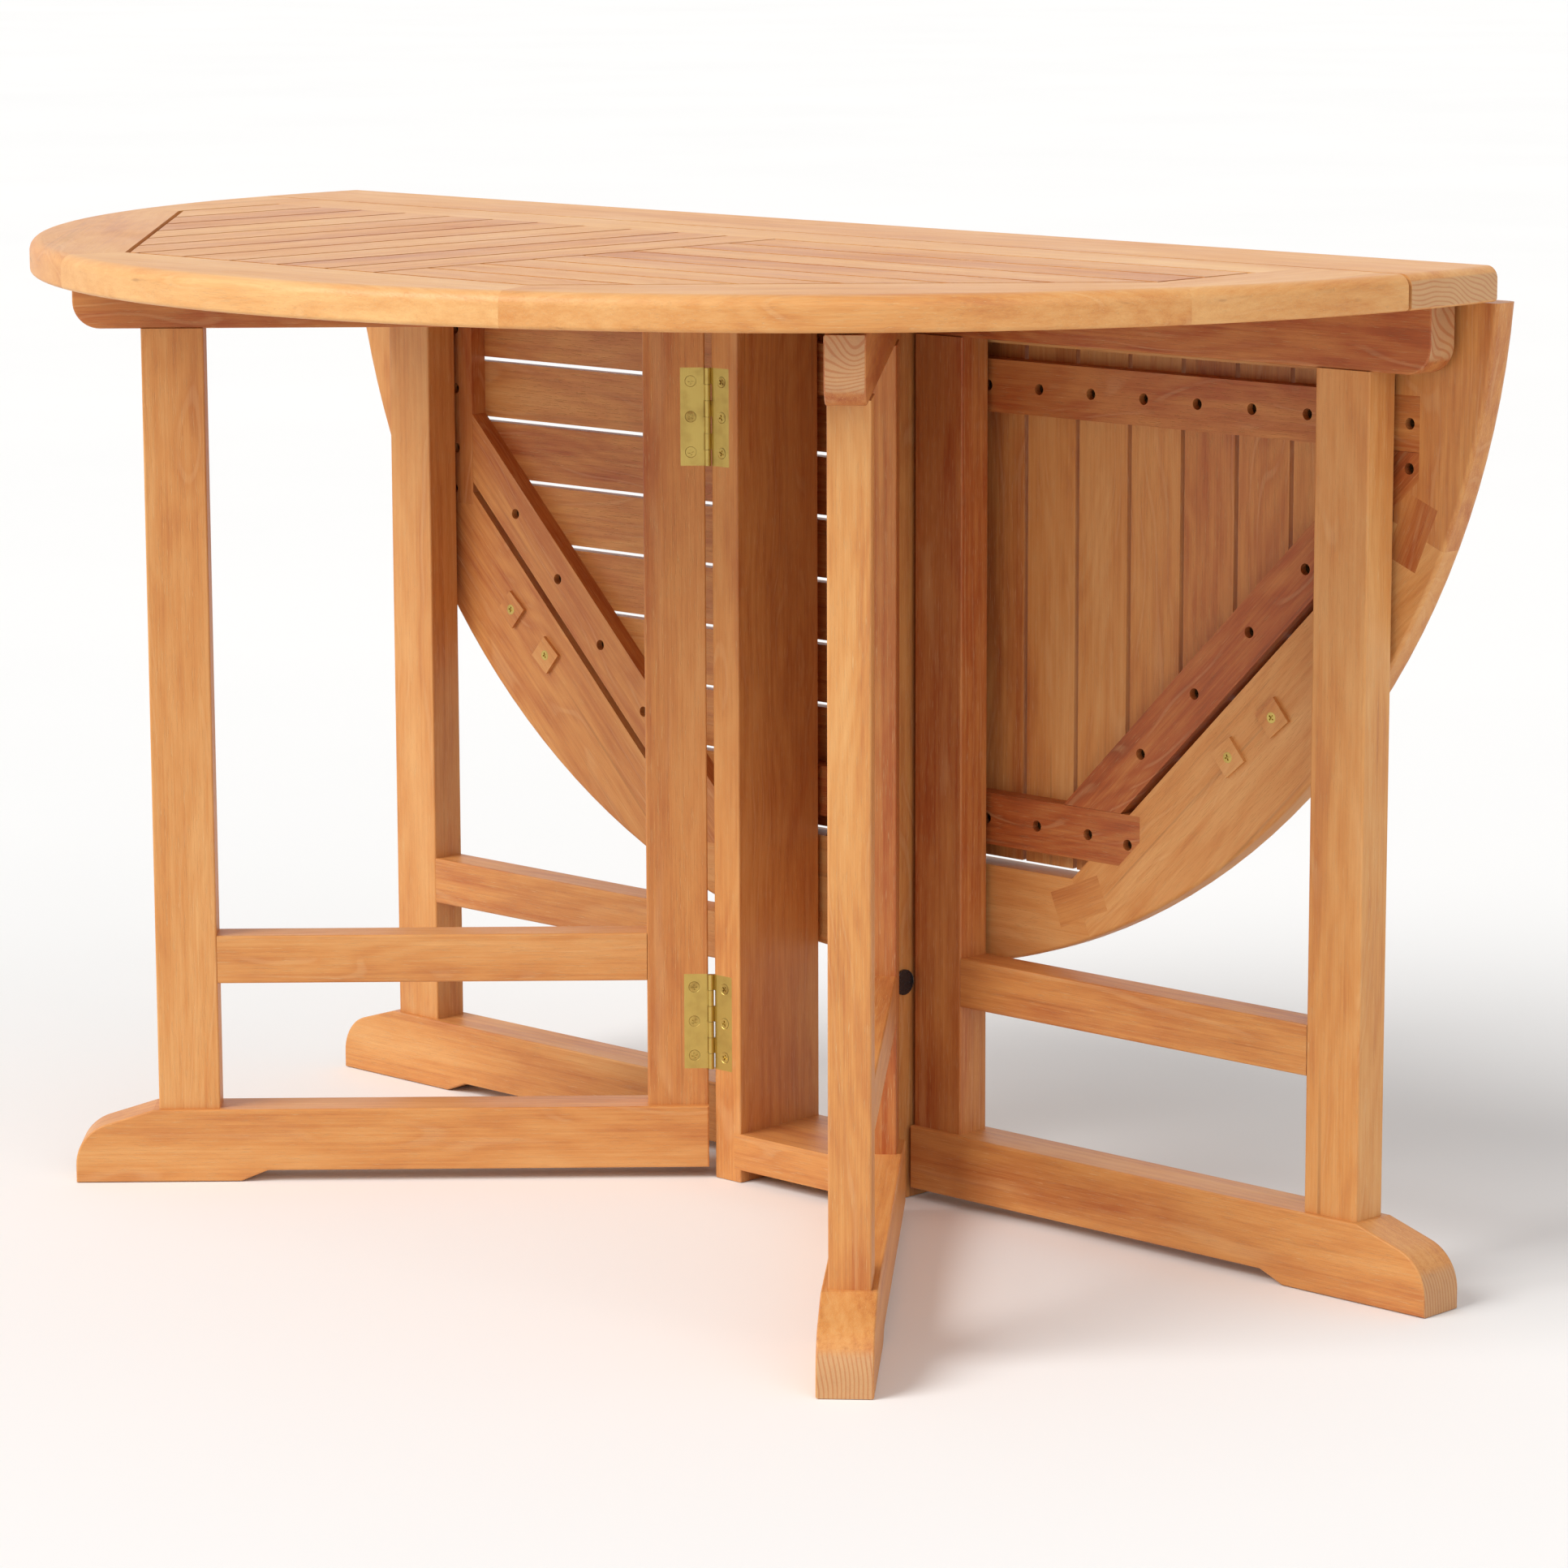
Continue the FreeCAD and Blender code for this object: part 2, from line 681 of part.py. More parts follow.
# ---------------------------------------------------------------- gates


def gate_frames():
    """name, placement of the hinge axis and hand of each gate."""
    left = float(size("left_open"))
    right = float(size("right_open"))
    upwards = Vector(0, 0, 1)
    return [
        ("front_left", Placement(Vector(-pin_x, front_shift - pin_y, 0),
                                 Rotation(upwards, left)), -1),
        ("front_right", Placement(Vector(pin_x, front_shift - pin_y, 0),
                                  Rotation(upwards, -right)), 1),
        ("back_right", Placement(Vector(pin_x, front_shift + pin_y, 0),
                                 Rotation(upwards, 180)), -1),
        ("back_left", Placement(Vector(-pin_x, front_shift + pin_y, 0),
                                Rotation(upwards, 180)), 1),
    ]


near = gate_gap / 2
stile_out = near + leg_wide
leg_near = top_radius - size("leg_inset")
leg_far = leg_near + leg_wide
rail_end = top_radius - size("rail_inset")
rail_round = size("rail_round")
foot_end = top_radius - size("foot_inset")
foot_clear = size("foot_clear")
pad_long = size("pad_long")
pad_slope = size("pad_slope")
toe_round = size("toe_round")
toe_flat = size("toe_flat")
TOE_TURN = math.radians(73)
toe_middle = foot_end - toe_round
toe_x = toe_middle + toe_round * math.cos(TOE_TURN)
toe_z = toe_flat + toe_round * math.sin(TOE_TURN)
toe_slope = (foot_top - toe_z) * math.tan(TOE_TURN)

stile_loop = rectangle(near, stile_out, foot_top, rail_low)
leg_loop = rectangle(leg_near, leg_far, foot_top, rail_low)
mid_low = size("mid_low")
mid_loop = rectangle(stile_out, leg_near, mid_low, mid_low + size("mid_tall"))
top_rail_loop = [
    (near, rail_low),
    (rail_end - rail_round, rail_low, (rail_end - rail_round, rail_low + rail_round, rail_round)),
    (rail_end, rail_low + rail_round),
    (rail_end, rail_top),
    (near, rail_top),
]
foot_loop = [
    (near, foot_clear),
    (foot_end - pad_long - pad_slope, foot_clear),
    (foot_end - pad_long, 0),
    (foot_end, 0),
    (foot_end, toe_flat, (toe_middle, toe_flat, toe_round)),
    (toe_x, toe_z),
    (toe_x - toe_slope, foot_top),
    (near, foot_top),
]


def gate_board(gate, piece, loop, hand, frame, face, thick, eased):
    """A board of a gate. Its outline is drawn in the plane of the gate and its inner face
    lies the given distance behind the hinge pin."""
    name = f"{gate}_{piece}"
    body = new_body(name)
    pad(body, f"{name}_board", [mirrored(loop, hand)], 0, thick)
    if eased:
        round_edges(body, f"{name}_eased", size("ease"), eased)
    stand = Placement(Vector(0, float(face), 0), Rotation(Vector(1, 0, 0), 90))
    body.Placement = frame.multiply(stand)
    exported.append(body)
    return body


def outline_edges(edge):
    """Edges that lie in one of the two faces of a board."""
    return edge.BoundBox.ZMax - edge.BoundBox.ZMin < 0.01


inner_face = pin_proud + leg_thick
foot_face = pin_proud + leg_thick / 2 + size("foot_thick") / 2
rail_face = pin_proud + leg_thick / 2 + size("rail_thick") / 2

column_screws = []
post_plates = []
pins = []

for gate, frame, hand in gate_frames():
    stile = gate_board(gate, "hinge_stile", stile_loop, hand, frame, inner_face, leg_thick,
                       lambda edge: along(edge, (0, 1, 0)))
    gate_board(gate, "outer_leg", leg_loop, hand, frame, inner_face, leg_thick,
               lambda edge: along(edge, (0, 1, 0)))
    gate_board(gate, "middle_rail", mid_loop, hand, frame, inner_face, leg_thick,
               lambda edge: along(edge, (1, 0, 0)))
    gate_board(gate, "top_rail", top_rail_loop, hand, frame, rail_face, size("rail_thick"),
               outline_edges)
    gate_board(gate, "foot_rail", foot_loop, hand, frame, foot_face, size("foot_thick"),
               outline_edges)

    # hinge plates, their housings and their screws
    plates = []
    screws = []
    show = float(leg_thick)
    housing_wide = butt_wide - near
    post_turn = 0 if "front" in gate else 180
    post_frame = Placement(frame.Base, Rotation(Vector(0, 0, 1), post_turn))
    for label, level in zip(("high", "low"), butt_levels):
        low_x = float(near) if hand > 0 else -float(butt_wide)
        corner = (low_x, level - float(butt_tall) / 2, show - float(butt_thick))
        box_cut(stile, f"{gate}_{label}_housing", corner,
                (housing_wide, butt_tall, butt_thick))
        for number in range(BUTT_SCREWS):
            height = level + (number - 1) * butt["screw_pitch"]
            start = (hand * butt["screw_row"], height, show - float(butt_thick))
            drill(stile, f"{gate}_{label}_hole_{number}", start, (0, 0, -1), hole_deep,
                  screw_shank)
            spot = (hand * butt["screw_row"], float(pin_proud), height)
            screw = screw_at(spot, (0, -1, 0), turn=15 + 40 * number)
            screw.Placement = frame.multiply(screw.Placement)
            screws.append(screw)
            spot = (-hand * butt["screw_row"], float(pin_proud), height)
            screw = screw_at(spot, (0, -1, 0), turn=70 + 35 * number)
            screw.Placement = post_frame.multiply(screw.Placement)
            column_screws.append(screw)
        plate = gate_plate.copy() if hand > 0 else flipped_x(gate_plate)
        plate.Placement = frame.multiply(Placement(Vector(0, 0, level), Rotation()))
        plates.append(plate)
        post = flipped_x(post_plate) if hand > 0 else post_plate.copy()
        post.Placement = post_frame.multiply(Placement(Vector(0, 0, level), Rotation()))
        post_plates.append(post)
        pin = hinge_pin(butt["pin"], butt["tall"])
        pin.translate(Vector(frame.Base.x, frame.Base.y, level))
        pins.append(pin)
    doc.recompute()
    exported.append(group(f"{gate}_hinge_plates", plates))
    exported.append(group(f"{gate}_hinge_screws", screws))

exported.append(group("upright_hinge_plates", post_plates))

# ---------------------------------------------------------------- leaf hinges on the strip

strip_plates = []
upwards = Vector(0, 0, 1)
for side in (-1, 1):
    for place in flap_places:
        # plate's X to the middle of the strip, plate's Y up, plate's Z along the strip
        turn = Rotation(Vector(0, -side, 0), upwards, Vector(-side, 0, 0), "ZYX")
        spot = Vector(place, front_shift + side * float(hinge_line), float(under_top))
        plate = strip_plate.copy()
        plate.Placement = Placement(spot, turn)
        strip_plates.append(plate)
        pin = hinge_pin(flap["pin"], flap["long"])
        pin.Placement = Placement(spot, turn)
        pins.append(pin)
        for number in range(FLAP_SCREWS):
            x = place + (number - 1) * flap["screw_pitch"]
            row = side * (float(hinge_line) - flap["screw_row"])
            column_screws.append(
                screw_at((x, front_shift + row, float(under_top)), (0, 0, -1),
                         turn=25 * number + 10))
exported.append(group("strip_hinge_plates", strip_plates))
exported.append(group("hinge_pins", pins))
exported.append(group("column_screws", column_screws))

# ---------------------------------------------------------------- leaves
# Each leaf is drawn flat: X along the strip, Y from the middle of the table outwards and
# Z = 0 on its underside.

split = size("field_split")
slat_low = batten_thick
long_count = int(float(sheet.get("long_slats")))
cross_count = int(float(sheet.get("cross_slats")))
corner_y = apothem * TAN_22
corner_sum = apothem * ROOT_2
joint_near_x = top_radius * COS_22
joint_near_y = top_radius * SIN_22
rim_start = root_of_difference(top_radius, leaf_edge)
rim_arc = (0, 0, top_radius)

near_edge = corner_y - size("batten_near")
batten_low = near_edge - batten_wide
batten_high = apothem - size("batten_far")
side_outer = apothem - size("batten_side")
side_inner = side_outer - batten_wide
inner_far = -split + slat_gap + size("batten_inner") + batten_wide
inner_near = inner_far - batten_wide
diagonal_sum = corner_sum - size("diagonal_inset") * ROOT_2
half_band = batten_wide / 2 * ROOT_2
band_low = diagonal_sum - half_band
band_high = diagonal_sum + half_band
house_x = apothem + let_in
house_y = rail_edge - let_in
# the far and side battens are let a short way into the corner pieces of the rim, a little
# less than the others so that their ends stay clear of the housings
END_REACH = 0.96
END_STEP = 0.93
end_sum = corner_sum + let_in * END_REACH * ROOT_2
end_step = let_in * END_STEP


def flip(loop):
    """The same outline on the other side of X = 0."""
    return mirrored(loop, -1)


rim_end_loop = [
    (apothem, leaf_edge), (rim_start, leaf_edge, rim_arc), (joint_near_x, joint_near_y),
    (apothem, corner_y),
]
rim_corner_loop = [
    (apothem, corner_y), (joint_near_x, joint_near_y, rim_arc), (joint_near_y, joint_near_x),
    (corner_y, apothem),
]
rim_front_loop = [
    (corner_y, apothem), (joint_near_y, joint_near_x, rim_arc), (-joint_near_y, joint_near_x),
    (-corner_y, apothem),
]
far_edge = batten_high - batten_wide
joint = size("batten_joint")
near_batten = rectangle(joint - inner_near, house_x, batten_low, near_edge)
far_end = end_sum - batten_high + end_step
far_batten = [
    (joint - inner_near, far_edge), (far_end, far_edge),
    (far_end, batten_high - end_step), (end_sum - batten_high, batten_high),
    (joint - inner_near, batten_high),
]
side_end = end_sum - side_outer + end_step
side_batten = [
    (-side_outer, house_y), (-side_inner, house_y), (-side_inner, side_end),
    (-(side_outer - end_step), side_end), (-side_outer, end_sum - side_outer),
]
inner_batten = rectangle(-inner_far, -inner_near, house_y, house_x)
right_low = near_edge + joint
right_high = far_edge - joint
right_diagonal = [
    (band_low - right_low, right_low), (house_x, right_low), (house_x, band_high - house_x),
    (band_high - right_high, right_high), (band_low - right_high, right_high),
]
left_end = side_inner - joint
left_diagonal = [
    (-left_end, band_low - left_end), (-(band_low - house_x), house_x),
    (-(band_high - house_x), house_x), (-left_end, band_high - left_end),
]


def long_slat_edges():
    """Low and high X of each slat that runs away from the strip."""
    wide = (apothem - split - slat_gap * long_count) / long_count
    pitch = wide + slat_gap
    return [(split + pitch * i, split + pitch * i + wide) for i in range(long_count)]


def cross_slat_edges():
    """Low and high Y of each slat that runs along the strip."""
    wide = (apothem - rail_edge - slat_gap * (cross_count + 1)) / cross_count
    pitch = wide + slat_gap
    return [(rail_edge + slat_gap + pitch * i, rail_edge + slat_gap + pitch * i + wide)
            for i in range(cross_count)]


def clipped_slat(low, high, base, far):
    """Outline of a slat between low and high, from base out to far or to the corner side
    of the rim, whichever comes first. Coordinates are (across, along)."""
    reach = corner_sum - slat_gap * ROOT_2
    loop = [(low, base), (high, base)]
    if float(reach - high) >= float(far):
        return loop + [(high, far), (low, far)]
    loop.append((high, reach - high))
    if float(reach - low) > float(far):
        return loop + [(reach - far, far), (low, far)]
    return loop + [(low, reach - low)]


long_edges = long_slat_edges()
cross_edges = cross_slat_edges()
far_line = apothem - slat_gap
long_loops = [clipped_slat(low, high, rail_edge, far_line)
              for low, high in long_edges]


def turned(loop):
    """(across, along) of a cross slat as (X, Y) on the left half, counter-clockwise."""
    return [(-corner[1], corner[0]) for corner in loop]


cross_base = slat_gap - split
cross_loops = [turned(clipped_slat(low, high, cross_base, far_line))
               for low, high in cross_edges]

# screws: where each batten crosses the middle of a slat
long_middles = [(low + high) / 2 for low, high in long_edges]
cross_middles = [(low + high) / 2 for low, high in cross_edges]
near_row = batten_low + batten_wide / 2
far_row = batten_high - batten_wide / 2
side_row = side_outer - batten_wide / 2
inner_row = inner_far - batten_wide / 2
half_wide = float(batten_wide) / 2

# how far along the let-in end of a batten its screw stands
END_SCREW = 0.6

batten_screws = []
for x in long_middles:
    batten_screws.append((x, near_row))
    if float(x) < float(corner_sum - far_row) - half_wide / 2:
        batten_screws.append((x, far_row))
    along_diagonal = diagonal_sum - x
    low_limit = float(near_edge) + half_wide
    high_limit = float(far_edge) - half_wide
    if low_limit < float(along_diagonal) < high_limit:
        batten_screws.append((x, along_diagonal))
for y in cross_middles:
    if float(y) < float(corner_sum - side_row) - half_wide / 2:
        batten_screws.append((-side_row, y))
    batten_screws.append((-inner_row, y))
    across = diagonal_sum - y
    if float(inner_far) + half_wide < float(across) < float(side_inner) - half_wide:
        batten_screws.append((-across, y))

end_margin = size("end_margin")
end_shift = size("end_shift")
end_screw_x = apothem + let_in * END_SCREW
end_screws = [(end_screw_x, near_row), (end_screw_x, near_edge + end_margin)]
corner_screws = [(far_end - end_margin, far_row + end_shift),
                 (-(side_row + end_shift), side_end - end_margin)]
front_screws = [(-inner_row, apothem + let_in / 2)]
rim_screws = end_screws + corner_screws + front_screws

# stop blocks either side of the place where a gate's top rail comes to rest
open_angle = math.radians(float(size("right_open")))
along_gate = (math.cos(open_angle), math.sin(open_angle))
across_gate = (math.sin(open_angle), -math.cos(open_angle))
block_side = size("block_side")
middle_v = float(pin_proud + leg_thick / 2)
reach_u = float(top_radius - size("block_inset"))
rest_x = pin_x + reach_u * along_gate[0] + middle_v * across_gate[0]
rest_y = pin_y + reach_u * along_gate[1] + middle_v * across_gate[1]
block_step = float(size("rail_thick") / 2 + size("block_play") + block_side / 2)
block_middles = [(rest_x + turn * block_step * across_gate[0],
                  rest_y + turn * block_step * across_gate[1]) for turn in (-1, 1)]

# keys let into the underside over the joints of the rim
key_deep = size("key_deep")
key_half = float(size("key_long")) / 2
key_inner = (float(band_high) + float(size("key_clear")) + key_half * (COS_22 - SIN_22)) \
    / (COS_22 + SIN_22)
key_radius = key_inner + float(size("key_wide")) / 2


def key_loop(angle):
    """The outline of a key centred on a joint of the rim."""
    turn = math.radians(angle)
    radial = (math.cos(turn), math.sin(turn))
    tangent = (-radial[1], radial[0])
    half = float(size("key_wide")) / 2
    marks = [(-half, -key_half), (half, -key_half), (half, key_half), (-half, key_half)]
    return [((key_radius + out) * radial[0] + side * tangent[0],
             (key_radius + out) * radial[1] + side * tangent[1]) for out, side in marks]


KEY_ANGLES = (22.5, 67.5, 112.5, 157.5)


def leaf_piece(name, loops, level, thick, frame):
    body = new_body(name)
    pad(body, f"{name}_board", loops, level, thick)
    body.Placement = frame
    exported.append(body)
    return body


def round_rim(body, name):
    round_edges(body, f"{name}_top_round", size("edge_round"), outer_arc(float(top_thick)))
    round_edges(body, f"{name}_low_round", size("edge_ease"), outer_arc(0.0))


def housed(loop, clip):
    """The part of a convex batten outline beyond a straight line of the rim, where clip is
    (a, b, c) and the kept side has a * x + b * y > c."""
    a, b, c = (float(number) for number in clip)
    points = [(float(corner[0]), float(corner[1])) for corner in loop]
    result = []
    for index, point in enumerate(points):
        after = points[(index + 1) % len(points)]
        here = a * point[0] + b * point[1] - c
        there = a * after[0] + b * after[1] - c
        if here >= 0:
            result.append(point)
        if here * there < 0:
            share = here / (here - there)
            result.append((point[0] + (after[0] - point[0]) * share,
                           point[1] + (after[1] - point[1]) * share))
    return result


def build_leaf(leaf, frame):
    end_keys = [key_loop(a) for a in KEY_ANGLES]
    # rim ends
    name = f"{leaf}_rim_ends"
    body = leaf_piece(name, [rim_end_loop, flip(rim_end_loop)], 0, top_thick, frame)
    round_rim(body, name)
    housing = [[(apothem, batten_low), (house_x, batten_low), (house_x, band_high - house_x),
                (apothem, band_high - apothem)]]
    pocket(body, f"{name}_housing", batten_thick, batten_thick, loops=housing)
    pocket(body, f"{name}_key_1", key_deep, key_deep, loops=[end_keys[0], end_keys[3]])
    holes = [(x, y, screw_shank) for x, y in end_screws]
    shank_end = float(size("screw_sunk") + screw_long)
    pocket(body, f"{name}_holes", shank_end, shank_end, circles=holes)

    # rim corners with stop block screws
    name = f"{leaf}_rim_corners"
    body = leaf_piece(name, [rim_corner_loop, flip(rim_corner_loop)], 0, top_thick, frame)
    round_rim(body, name)
    housing = [housed(far_batten, (1, 1, corner_sum)), housed(side_batten, (-1, 1, corner_sum))]
    pocket(body, f"{name}_housing", batten_thick, batten_thick, loops=housing)
    pocket(body, f"{name}_keys", key_deep, key_deep, loops=end_keys)
    holes = [(x, y, screw_shank) for x, y in corner_screws]
    pocket(body, f"{name}_holes", shank_end, shank_end, circles=holes)
    block_holes = [(side * x, y, screw_shank) for x, y in block_middles for side in (-1, 1)]
    block_deep = screw_long - size("block_thick")
    pocket(body, f"{name}_block_holes", block_deep, block_deep, circles=block_holes)

    # front of the rim
    name = f"{leaf}_rim_front"
    body = leaf_piece(name, [rim_front_loop], 0, top_thick, frame)
    round_rim(body, name)
    housing = [housed(inner_batten, (0, 1, apothem)), housed(left_diagonal, (0, 1, apothem))]
    pocket(body, f"{name}_housing", batten_thick, batten_thick, loops=housing)
    pocket(body, f"{name}_keys", key_deep, key_deep, loops=end_keys[1:3])
    holes = [(x, y, screw_shank) for x, y in front_screws]
    pocket(body, f"{name}_holes", shank_end, shank_end, circles=holes)

    # hinge rail
    name = f"{leaf}_hinge_rail"
    rail_loop = rectangle(-apothem, apothem, leaf_edge, rail_edge)
    body = leaf_piece(name, [rail_loop], 0, top_thick, frame)
    flap_recess(body, name, 1, leaf_edge)
    housing = [rectangle(-side_outer, -side_inner, house_y, rail_edge),
               rectangle(-inner_far, -inner_near, house_y, rail_edge)]
    pocket(body, f"{name}_batten_housing", batten_thick, batten_thick, loops=housing)

    # slats
    pilot_top = size("screw_sunk") + screw_long
    pilot_deep = pilot_top - slat_low
    name = f"{leaf}_long_slats"
    body = leaf_piece(name, long_loops, slat_low, size("slat_thick"), frame)
    pilots = [(x, y, screw_shank) for x, y in batten_screws if float(x) > float(split)]
    pocket(body, f"{name}_pilots", pilot_top, pilot_deep, circles=pilots)
    name = f"{leaf}_cross_slats"
    body = leaf_piece(name, cross_loops, slat_low, size("slat_thick"), frame)
    pilots = [(x, y, screw_shank) for x, y in batten_screws if float(x) < float(split)]
    pocket(body, f"{name}_pilots", pilot_top, pilot_deep, circles=pilots)

    # battens
    name = f"{leaf}_battens"
    battens = [near_batten, far_batten, side_batten, inner_batten, right_diagonal,
               left_diagonal]
    body = leaf_piece(name, battens, 0, batten_thick, frame)
    wells = [(x, y, screw_head + size("well_room")) for x, y in batten_screws + rim_screws]
    well_deep = size("screw_sunk") + screw_cone
    pocket(body, f"{name}_wells", well_deep, well_deep, circles=wells)
    bores = [(x, y, screw_shank) for x, y in batten_screws + rim_screws]
    pocket(body, f"{name}_bores", batten_thick, batten_thick, circles=bores)

    # keys
    leaf_piece(f"{leaf}_rim_keys", end_keys, 0, key_deep, frame)

    # stop blocks, proud of the underside
    name = f"{leaf}_stop_blocks"
    loops = []
    half = float(block_side) / 2
    for x, y in block_middles:
        square = [(x + half * (i * along_gate[0] + j * across_gate[0]),
                   y + half * (i * along_gate[1] + j * across_gate[1]))
                  for i, j in ((-1, 1), (1, 1), (1, -1), (-1, -1))]
        square = square if area(square) > 0 else square[::-1]
        loops.append(square)
        loops.append([(-px, py) for px, py in reversed(square)])
    body = leaf_piece(name, loops, -size("block_thick"), size("block_thick"), frame)
    seats = [(side * x, y, screw_head + size("seat_room"))
             for x, y in block_middles for side in (-1, 1)]
    pocket(body, f"{name}_seats", -size("block_thick") + screw_cone, screw_cone, circles=seats)
    bores = [(side * x, y, screw_shank) for x, y in block_middles for side in (-1, 1)]
    pocket(body, f"{name}_bores", 0, size("block_thick"), circles=bores)

    # screws
    screws = []
    sunk = float(size("screw_sunk"))
    for index, (x, y) in enumerate(batten_screws + rim_screws):
        screws.append(screw_at((float(x), float(y), sunk), (0, 0, -1), turn=37 * index))
    for index, (x, y) in enumerate(block_middles):
        for side in (-1, 1):
            spot = (side * x, y, -float(size("block_thick")))
            screws.append(screw_at(spot, (0, 0, -1), turn=20 + 31 * index * side))
    plates = []
    for place in flap_places:
        for number in range(FLAP_SCREWS):
            x = place + (number - 1) * flap["screw_pitch"]
            spot = (x, float(hinge_line) + flap["screw_row"], 0)
            screws.append(screw_at(spot, (0, 0, -1), turn=50 * number + 5))
        # plate's X outwards, plate's Y up, plate's Z along the strip
        turn = Rotation(Vector(0, 1, 0), Vector(0, 0, 1), Vector(1, 0, 0), "ZYX")
        plate = leaf_plate.copy()
        plate.Placement = Placement(Vector(place, float(hinge_line), 0), turn)
        plates.append(plate)
    feature = group(f"{leaf}_screws", screws)
    feature.Placement = frame
    exported.append(feature)
    feature = group(f"{leaf}_hinge_plates", plates)
    feature.Placement = frame
    exported.append(feature)


def area(points):
    """Signed area of an outline: positive when it runs counter-clockwise."""
    total = 0.0
    for index, (x, y) in enumerate(points):
        next_x, next_y = points[(index + 1) % len(points)]
        total += x * next_y - next_x * y
    return total / 2


raised = Placement(Vector(0, front_shift, float(under_top)), Rotation(upwards, 180))
hanging = Placement(
    Vector(0, front_shift + float(hinge_line), float(under_top + hinge_line)),
    Rotation(Vector(1, 0, 0), -90))
build_leaf("front_leaf", raised)
build_leaf("back_leaf", hanging)

# ---------------------------------------------------------------- checks and export

doc.recompute()
screw_master.Visibility = False
for thing in doc.Objects:
    if "Invalid" in thing.State or "Error" in thing.State:
        raise RuntimeError(f"{thing.Label} did not compute: {thing.State}")
for thing in exported:
    if thing.Shape.isNull() or not thing.Shape.isValid() or not thing.Shape.Solids:
        raise RuntimeError(f"{thing.Label} has no valid solid")
os.makedirs("parts", exist_ok=True)
for thing in exported:
    thing.Shape.exportStep(f"parts/{thing.Label}.step")
print(len(exported), "pieces written")
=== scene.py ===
"""Finishes, light and camera for a round folding gateleg table of oiled teak.

Lengths are in metres. X runs along the centre strip, Y from the raised leaf to the hanging
one and Z up.
"""
import bpy
import json
import math
from mathutils import Matrix, Vector


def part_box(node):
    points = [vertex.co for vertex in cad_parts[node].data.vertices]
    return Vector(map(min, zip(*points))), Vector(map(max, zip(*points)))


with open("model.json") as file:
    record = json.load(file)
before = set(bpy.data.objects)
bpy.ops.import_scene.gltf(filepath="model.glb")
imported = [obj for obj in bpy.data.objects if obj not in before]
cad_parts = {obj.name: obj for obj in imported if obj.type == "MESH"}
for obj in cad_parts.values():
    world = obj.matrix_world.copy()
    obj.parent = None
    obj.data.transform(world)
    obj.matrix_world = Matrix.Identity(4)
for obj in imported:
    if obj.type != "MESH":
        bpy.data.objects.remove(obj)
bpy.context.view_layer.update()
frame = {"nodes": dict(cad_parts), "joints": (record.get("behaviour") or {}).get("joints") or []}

# ---------------------------------------------------------------- places, from the frame

NODES = frame["nodes"]
STRIP_LOW, STRIP_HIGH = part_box("center_strip")
TABLE_Y = (STRIP_LOW.y + STRIP_HIGH.y) / 2
TOP_UNDER = STRIP_LOW.z

JOINTS = {joint["name"]: joint for joint in frame["joints"]}
HINGE_LINE = JOINTS["back_leaf_fold"]["pos_m"][1] - TABLE_Y
LEFT_OPEN = JOINTS["front_left_gate_swing"]["range_deg"][1]
RIGHT_OPEN = JOINTS["front_right_gate_swing"]["range_deg"][1]

# the leaves, in millimetres as they are cut
MM_PER_M = 1000.0
LONG_SLATS = 11
CROSS_SLATS = 8
SPLIT = -53.0
APOTHEM = 510.0
RAIL_EDGE = 108.0
SLAT_GAP = 4.0
LONG_PITCH = (APOTHEM - SPLIT) / LONG_SLATS
CROSS_PITCH = (APOTHEM - RAIL_EDGE - SLAT_GAP) / CROSS_SLATS
NEAR_EDGE = 160.6
FAR_EDGE = 453.9
SIDE_INNER = 450.9
INNER_FAR = 109.5
INNER_NEAR = 68.5
KEY_RADIUS = 560.0
KEY_SPLIT = 380.0
SLANT = math.sqrt(0.5)

# ---------------------------------------------------------------- shader arithmetic


class Value:
    """A socket that takes part in arithmetic."""

    def __init__(self, finish, socket):
        self.finish = finish
        self.socket = socket

    def _math(self, operation, *others):
        inputs = dict(enumerate((self,) + others))
        return self.finish.node("ShaderNodeMath", {"operation": operation}, inputs)

    def __add__(self, other):
        return self._math("ADD", other)

    def __radd__(self, other):
        return self + other

    def __sub__(self, other):
        return self._math("SUBTRACT", other)

    def __rsub__(self, other):
        return self.finish.node("ShaderNodeMath", {"operation": "SUBTRACT"},
                                {0: other, 1: self})

    def __mul__(self, other):
        return self._math("MULTIPLY", other)

    def __rmul__(self, other):
        return self * other

    def __truediv__(self, other):
        return self._math("DIVIDE", other)

    def __neg__(self):
        return self * -1

    def __abs__(self):
        return self._math("ABSOLUTE")

    def __pow__(self, power):
        return self._math("POWER", power)

    def __gt__(self, other):
        return self._math("GREATER_THAN", other)

    def __lt__(self, other):
        return self._math("LESS_THAN", other)

    def floor(self):
        return self._math("FLOOR")

    def sine(self):
        return self._math("SINE")

    def root(self):
        return self._math("SQRT")

    def turn_from(self, other):
        return self._math("ARCTAN2", other)

    def choose(self, if_one, if_zero):
        """if_one where this is 1 and if_zero where it is 0."""
        return if_zero + (if_one - if_zero) * self

    def ramp(self, low, high):
        """0 at low and 1 at high, smooth between them."""
        return self.finish.node(
            "ShaderNodeMapRange", {"interpolation_type": "SMOOTHSTEP"},
            {"Value": self, "From Min": low, "From Max": high, "To Min": 0.0, "To Max": 1.0})


